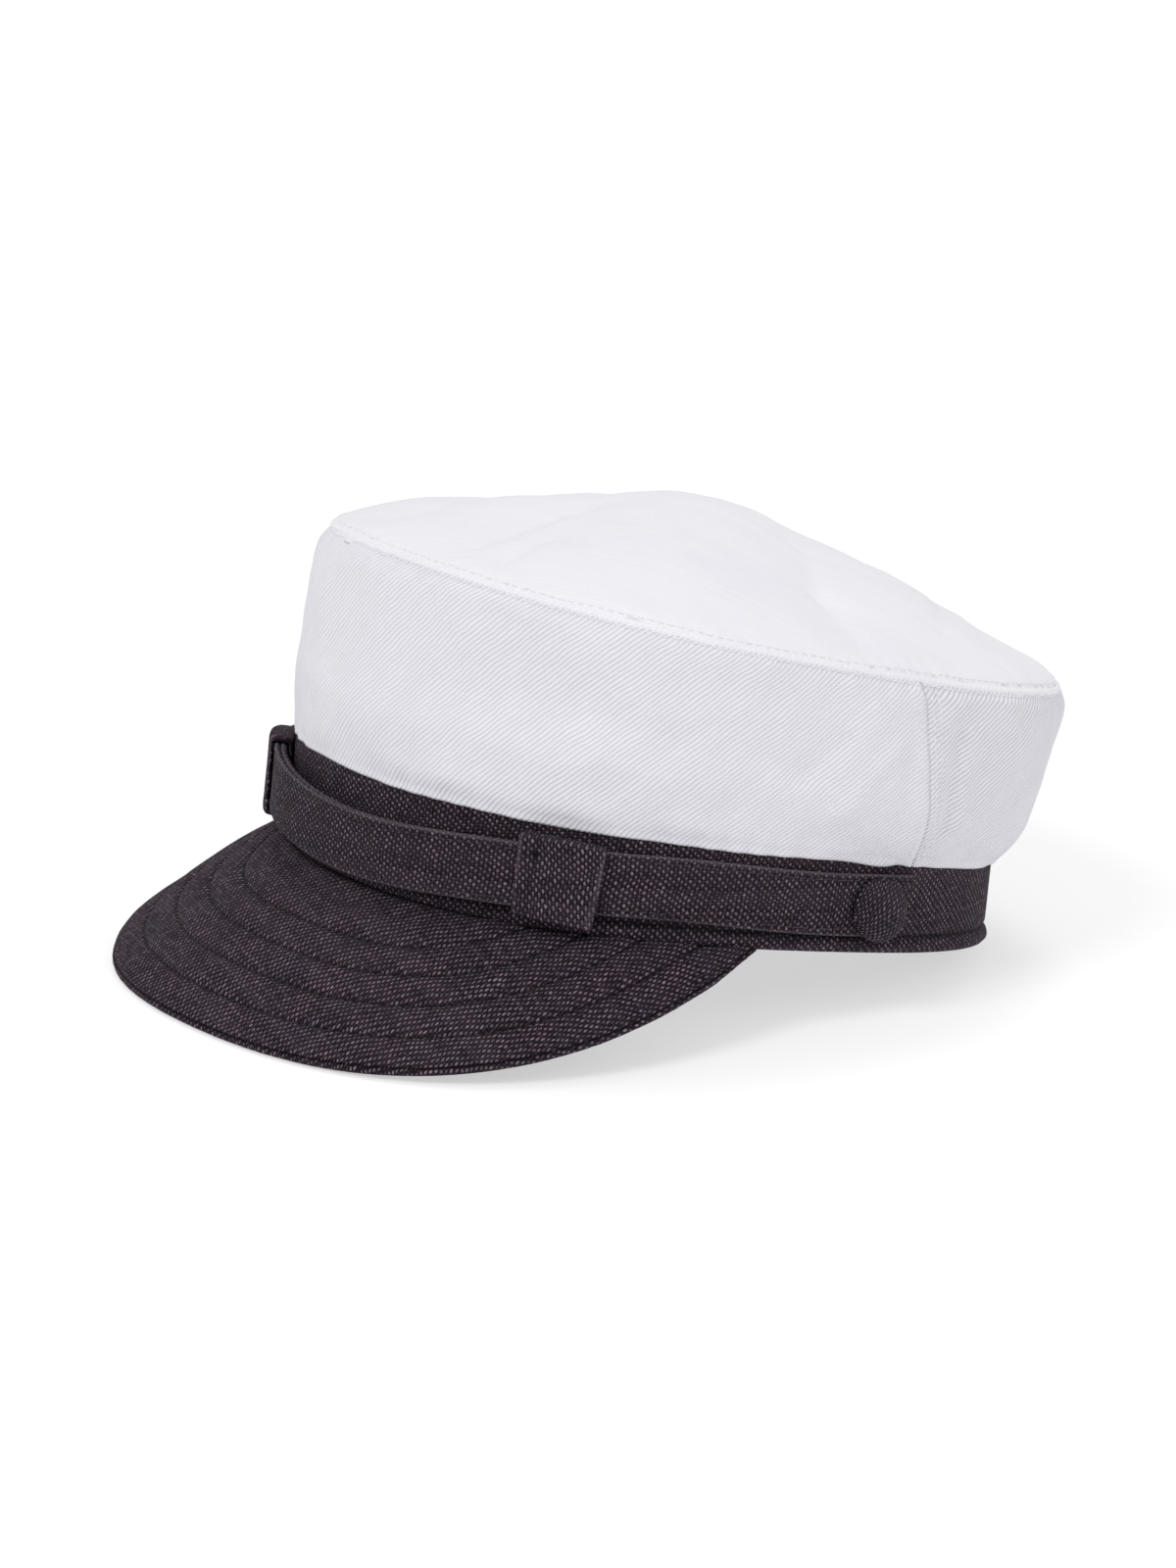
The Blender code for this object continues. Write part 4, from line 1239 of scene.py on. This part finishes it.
def sew(name, rows, material, slot, sink=0.45, radius=STITCH_RADIUS):
    """One mesh of stitches along rows; a row is a snap, places and normals in the level cap."""
    places = []
    faces = []
    for snap, line, normals in rows:
        line = to_row(line)
        normals = normals @ turn.T
        arcs = lengths_along(line)
        for number in range(int(arcs[-1] / STITCH_STEP)):
            ends = []
            for part in (-0.5, 0.5):
                at = (number + 0.5) * STITCH_STEP + part * STITCH_LENGTH
                place, normal = (np.array([np.interp(at, arcs, table[:, axis]) for axis in range(3)])
                                 for table in (line, normals))
                ends.append(snap(place, normal / np.linalg.norm(normal)))
            if None in ends:
                continue
            along = ends[1][0] - ends[0][0]
            run = np.linalg.norm(along)
            if run > LONGEST_SHARE * STITCH_LENGTH:
                continue
            along /= run
            normal = ends[0][1] + ends[1][1]
            normal -= along * (normal @ along)
            normal /= np.linalg.norm(normal)
            side = np.cross(normal, along)
            middle = 0.5 * (ends[0][0] + ends[1][0]) + normal * radius * (1.0 - 2.0 * sink)
            first = len(places)
            for x, y, z in STITCH_PLACES:
                places.append(middle + along * x * run / 2 + (side * y + normal * z) * radius)
            faces += [tuple(first + corner for corner in face) for face in STITCH_FACES]
    mesh = bpy.data.meshes.new(name)
    mesh.from_pydata([tuple(place) for place in places], [], faces)
    mesh.shade_smooth()
    piece = bpy.data.objects.new(name, mesh)
    bpy.context.scene.collection.objects.link(piece)
    finish_piece(piece, material, slot)


def wall_line(snap, angle, share):
    """A row on the side walls, at a height share for each angle."""
    low = band_top_ring(angle)
    out = outward_at(angle)
    return snap, low + (crest_ring(angle) - low) * share[:, None] + out * 1.5 * MM, out


def seam_line(snap, side, off, count=60):
    share = np.linspace(0.05, 0.955, count)
    return wall_line(snap, side * (seam_angle(share) + off / CROWN_MEAN), share)


def tip_line(snap, angle, inset):
    return snap, soft_crest(angle, inset) + UP * 0.5 * MM, np.tile(UP, (len(angle), 1))


def strap_line(snap, angle, side):
    low = hem_ring(angle)
    rise = band_top_ring(angle) - low
    up = strap_middle(angle) + side * (STRAP_WIDTH / 2 - STRAP_STITCH_OFF) - strap_end_drop(angle)
    out = outward_at(angle)
    return snap, low + rise * (up / rise[:, 2])[:, None] + out * 3.0 * MM, out


def peak_line(snap, inset):
    """A row at a distance in from the peak's edge, as far as it lies outside the hem."""
    line, upward, inward = PEAK_EDGE
    moved = line + inward * (inset - PEAK_EDGE_RADIUS)
    hem = hem_ring(ring_angle(moved, HEAD_HALF, 0.0))
    keep = np.hypot(moved[:, 0], moved[:, 1]) > np.hypot(hem[:, 0], hem[:, 1]) + 1.5 * MM
    return snap, moved[keep], upward[keep]


on_walls = surface_of(side_front, side_back)
on_tip = surface_of(tip)
on_peak = surface_of(peak)
all_round = np.radians(np.linspace(-180.0, 180.0, 361))
along_strap = np.radians(np.linspace(-46.0, 99.0, 220))

sew("crest_stitches", (
    wall_line(on_walls, all_round, 1.0 - CREST_STITCH_OFF / wall_height(all_round)),
    tip_line(on_tip, all_round, CREST_STITCH_OFF),
), white_thread, "white_twill")
sew("side_seam_stitches", tuple(
    seam_line(on_walls, side, off)
    for side in (1.0, -1.0)
    for off in (SEAM_STITCH_OFF, 2.0 * SEAM_STITCH_OFF, -SEAM_STITCH_OFF)
), white_thread, "white_twill")
sew("strap_stitches", tuple(
    strap_line(surface_of(strap), along_strap * flip, side)
    for strap, flip in zip(straps, (1.0, -1.0))
    for side in (1.0, -1.0)
), dark_thread, "dark_linen")
sew("peak_stitches", tuple(peak_line(on_peak, inset) for inset in PEAK_ROWS),
    dark_thread, "dark_linen", sink=0.72, radius=0.17 * MM)


# Camera, floor and lights

CAMERA_AZIMUTH = math.radians(51.3782)
CAMERA_ELEVATION = math.radians(15.9967)
CAMERA_ROLL = math.radians(2.5183)
CAMERA_AIM = Vector((-6.1640, 1.9768, 45.8708)) * MM
CAMERA_DISTANCE = 2.0
CAMERA_LENS = 167.05
LIGHT_AIM = Vector((0.0, 0.0, 0.06))
PURE_WHITE = (1.0, 1.0, 1.0, 1.0)
FLOOR_PALE = ((0.50, 0.50, 0.50, 1.0), (0.52, 0.52, 0.52, 1.0))
FLOOR_FINISH = {"Roughness": 0.9, "Specular IOR Level": 0.1, "Emission Color": PURE_WHITE,
                "Emission Strength": 0.52}
FLOOR_DROP = 0.2 * MM
WORLD_STRENGTH = 0.60

back = Vector((
    math.sin(CAMERA_AZIMUTH) * math.cos(CAMERA_ELEVATION),
    -math.cos(CAMERA_AZIMUTH) * math.cos(CAMERA_ELEVATION),
    math.sin(CAMERA_ELEVATION),
))
camera = bpy.data.objects.new("camera", bpy.data.cameras.new("camera"))
bpy.context.scene.collection.objects.link(camera)
camera.data.lens = CAMERA_LENS
camera.location = CAMERA_AIM + back * CAMERA_DISTANCE
camera.rotation_mode = "QUATERNION"
camera.rotation_quaternion = (
    (-back).to_track_quat("-Z", "Y") @ Matrix.Rotation(CAMERA_ROLL, 3, "Z").to_quaternion())
bpy.context.scene.camera = camera

bpy.ops.object.select_all(action="DESELECT")
bpy.ops.mesh.primitive_plane_add(size=40.0, location=(0.0, 0.0, -FLOOR_DROP))
floor = bpy.context.active_object
floor.name = "floor"
pale = Weave("pale_floor")
pale.put(pale.shader.inputs["Base Color"], pale.mix(pale.object_noise(3.0), *FLOOR_PALE))
for socket, value in FLOOR_FINISH.items():
    pale.shader.inputs[socket].default_value = value
floor.data.materials.append(pale.material)

world = bpy.data.worlds.new("studio")
bpy.context.scene.world = world
world.use_nodes = True
world.node_tree.nodes["Background"].inputs[0].default_value = PURE_WHITE
world.node_tree.nodes["Background"].inputs[1].default_value = WORLD_STRENGTH


def soft_light(name, place, size, power):
    light = bpy.data.lights.new(name, "AREA")
    light.shape = "DISK"
    light.size = size
    light.energy = power
    lamp = bpy.data.objects.new(name, light)
    bpy.context.scene.collection.objects.link(lamp)
    lamp.location = place
    lamp.rotation_mode = "QUATERNION"
    lamp.rotation_quaternion = (LIGHT_AIM - Vector(place)).to_track_quat("-Z", "Y")


soft_light("key_light", (1.05, -4.2, 4.4), 2.4, 142.0)
soft_light("top_light", (-1.6, 1.6, 5.6), 1.8, 58.0)
soft_light("fill_light", (4.0, 2.3, 2.6), 3.0, 46.0)
bpy.context.scene.view_settings.view_transform = "Standard"
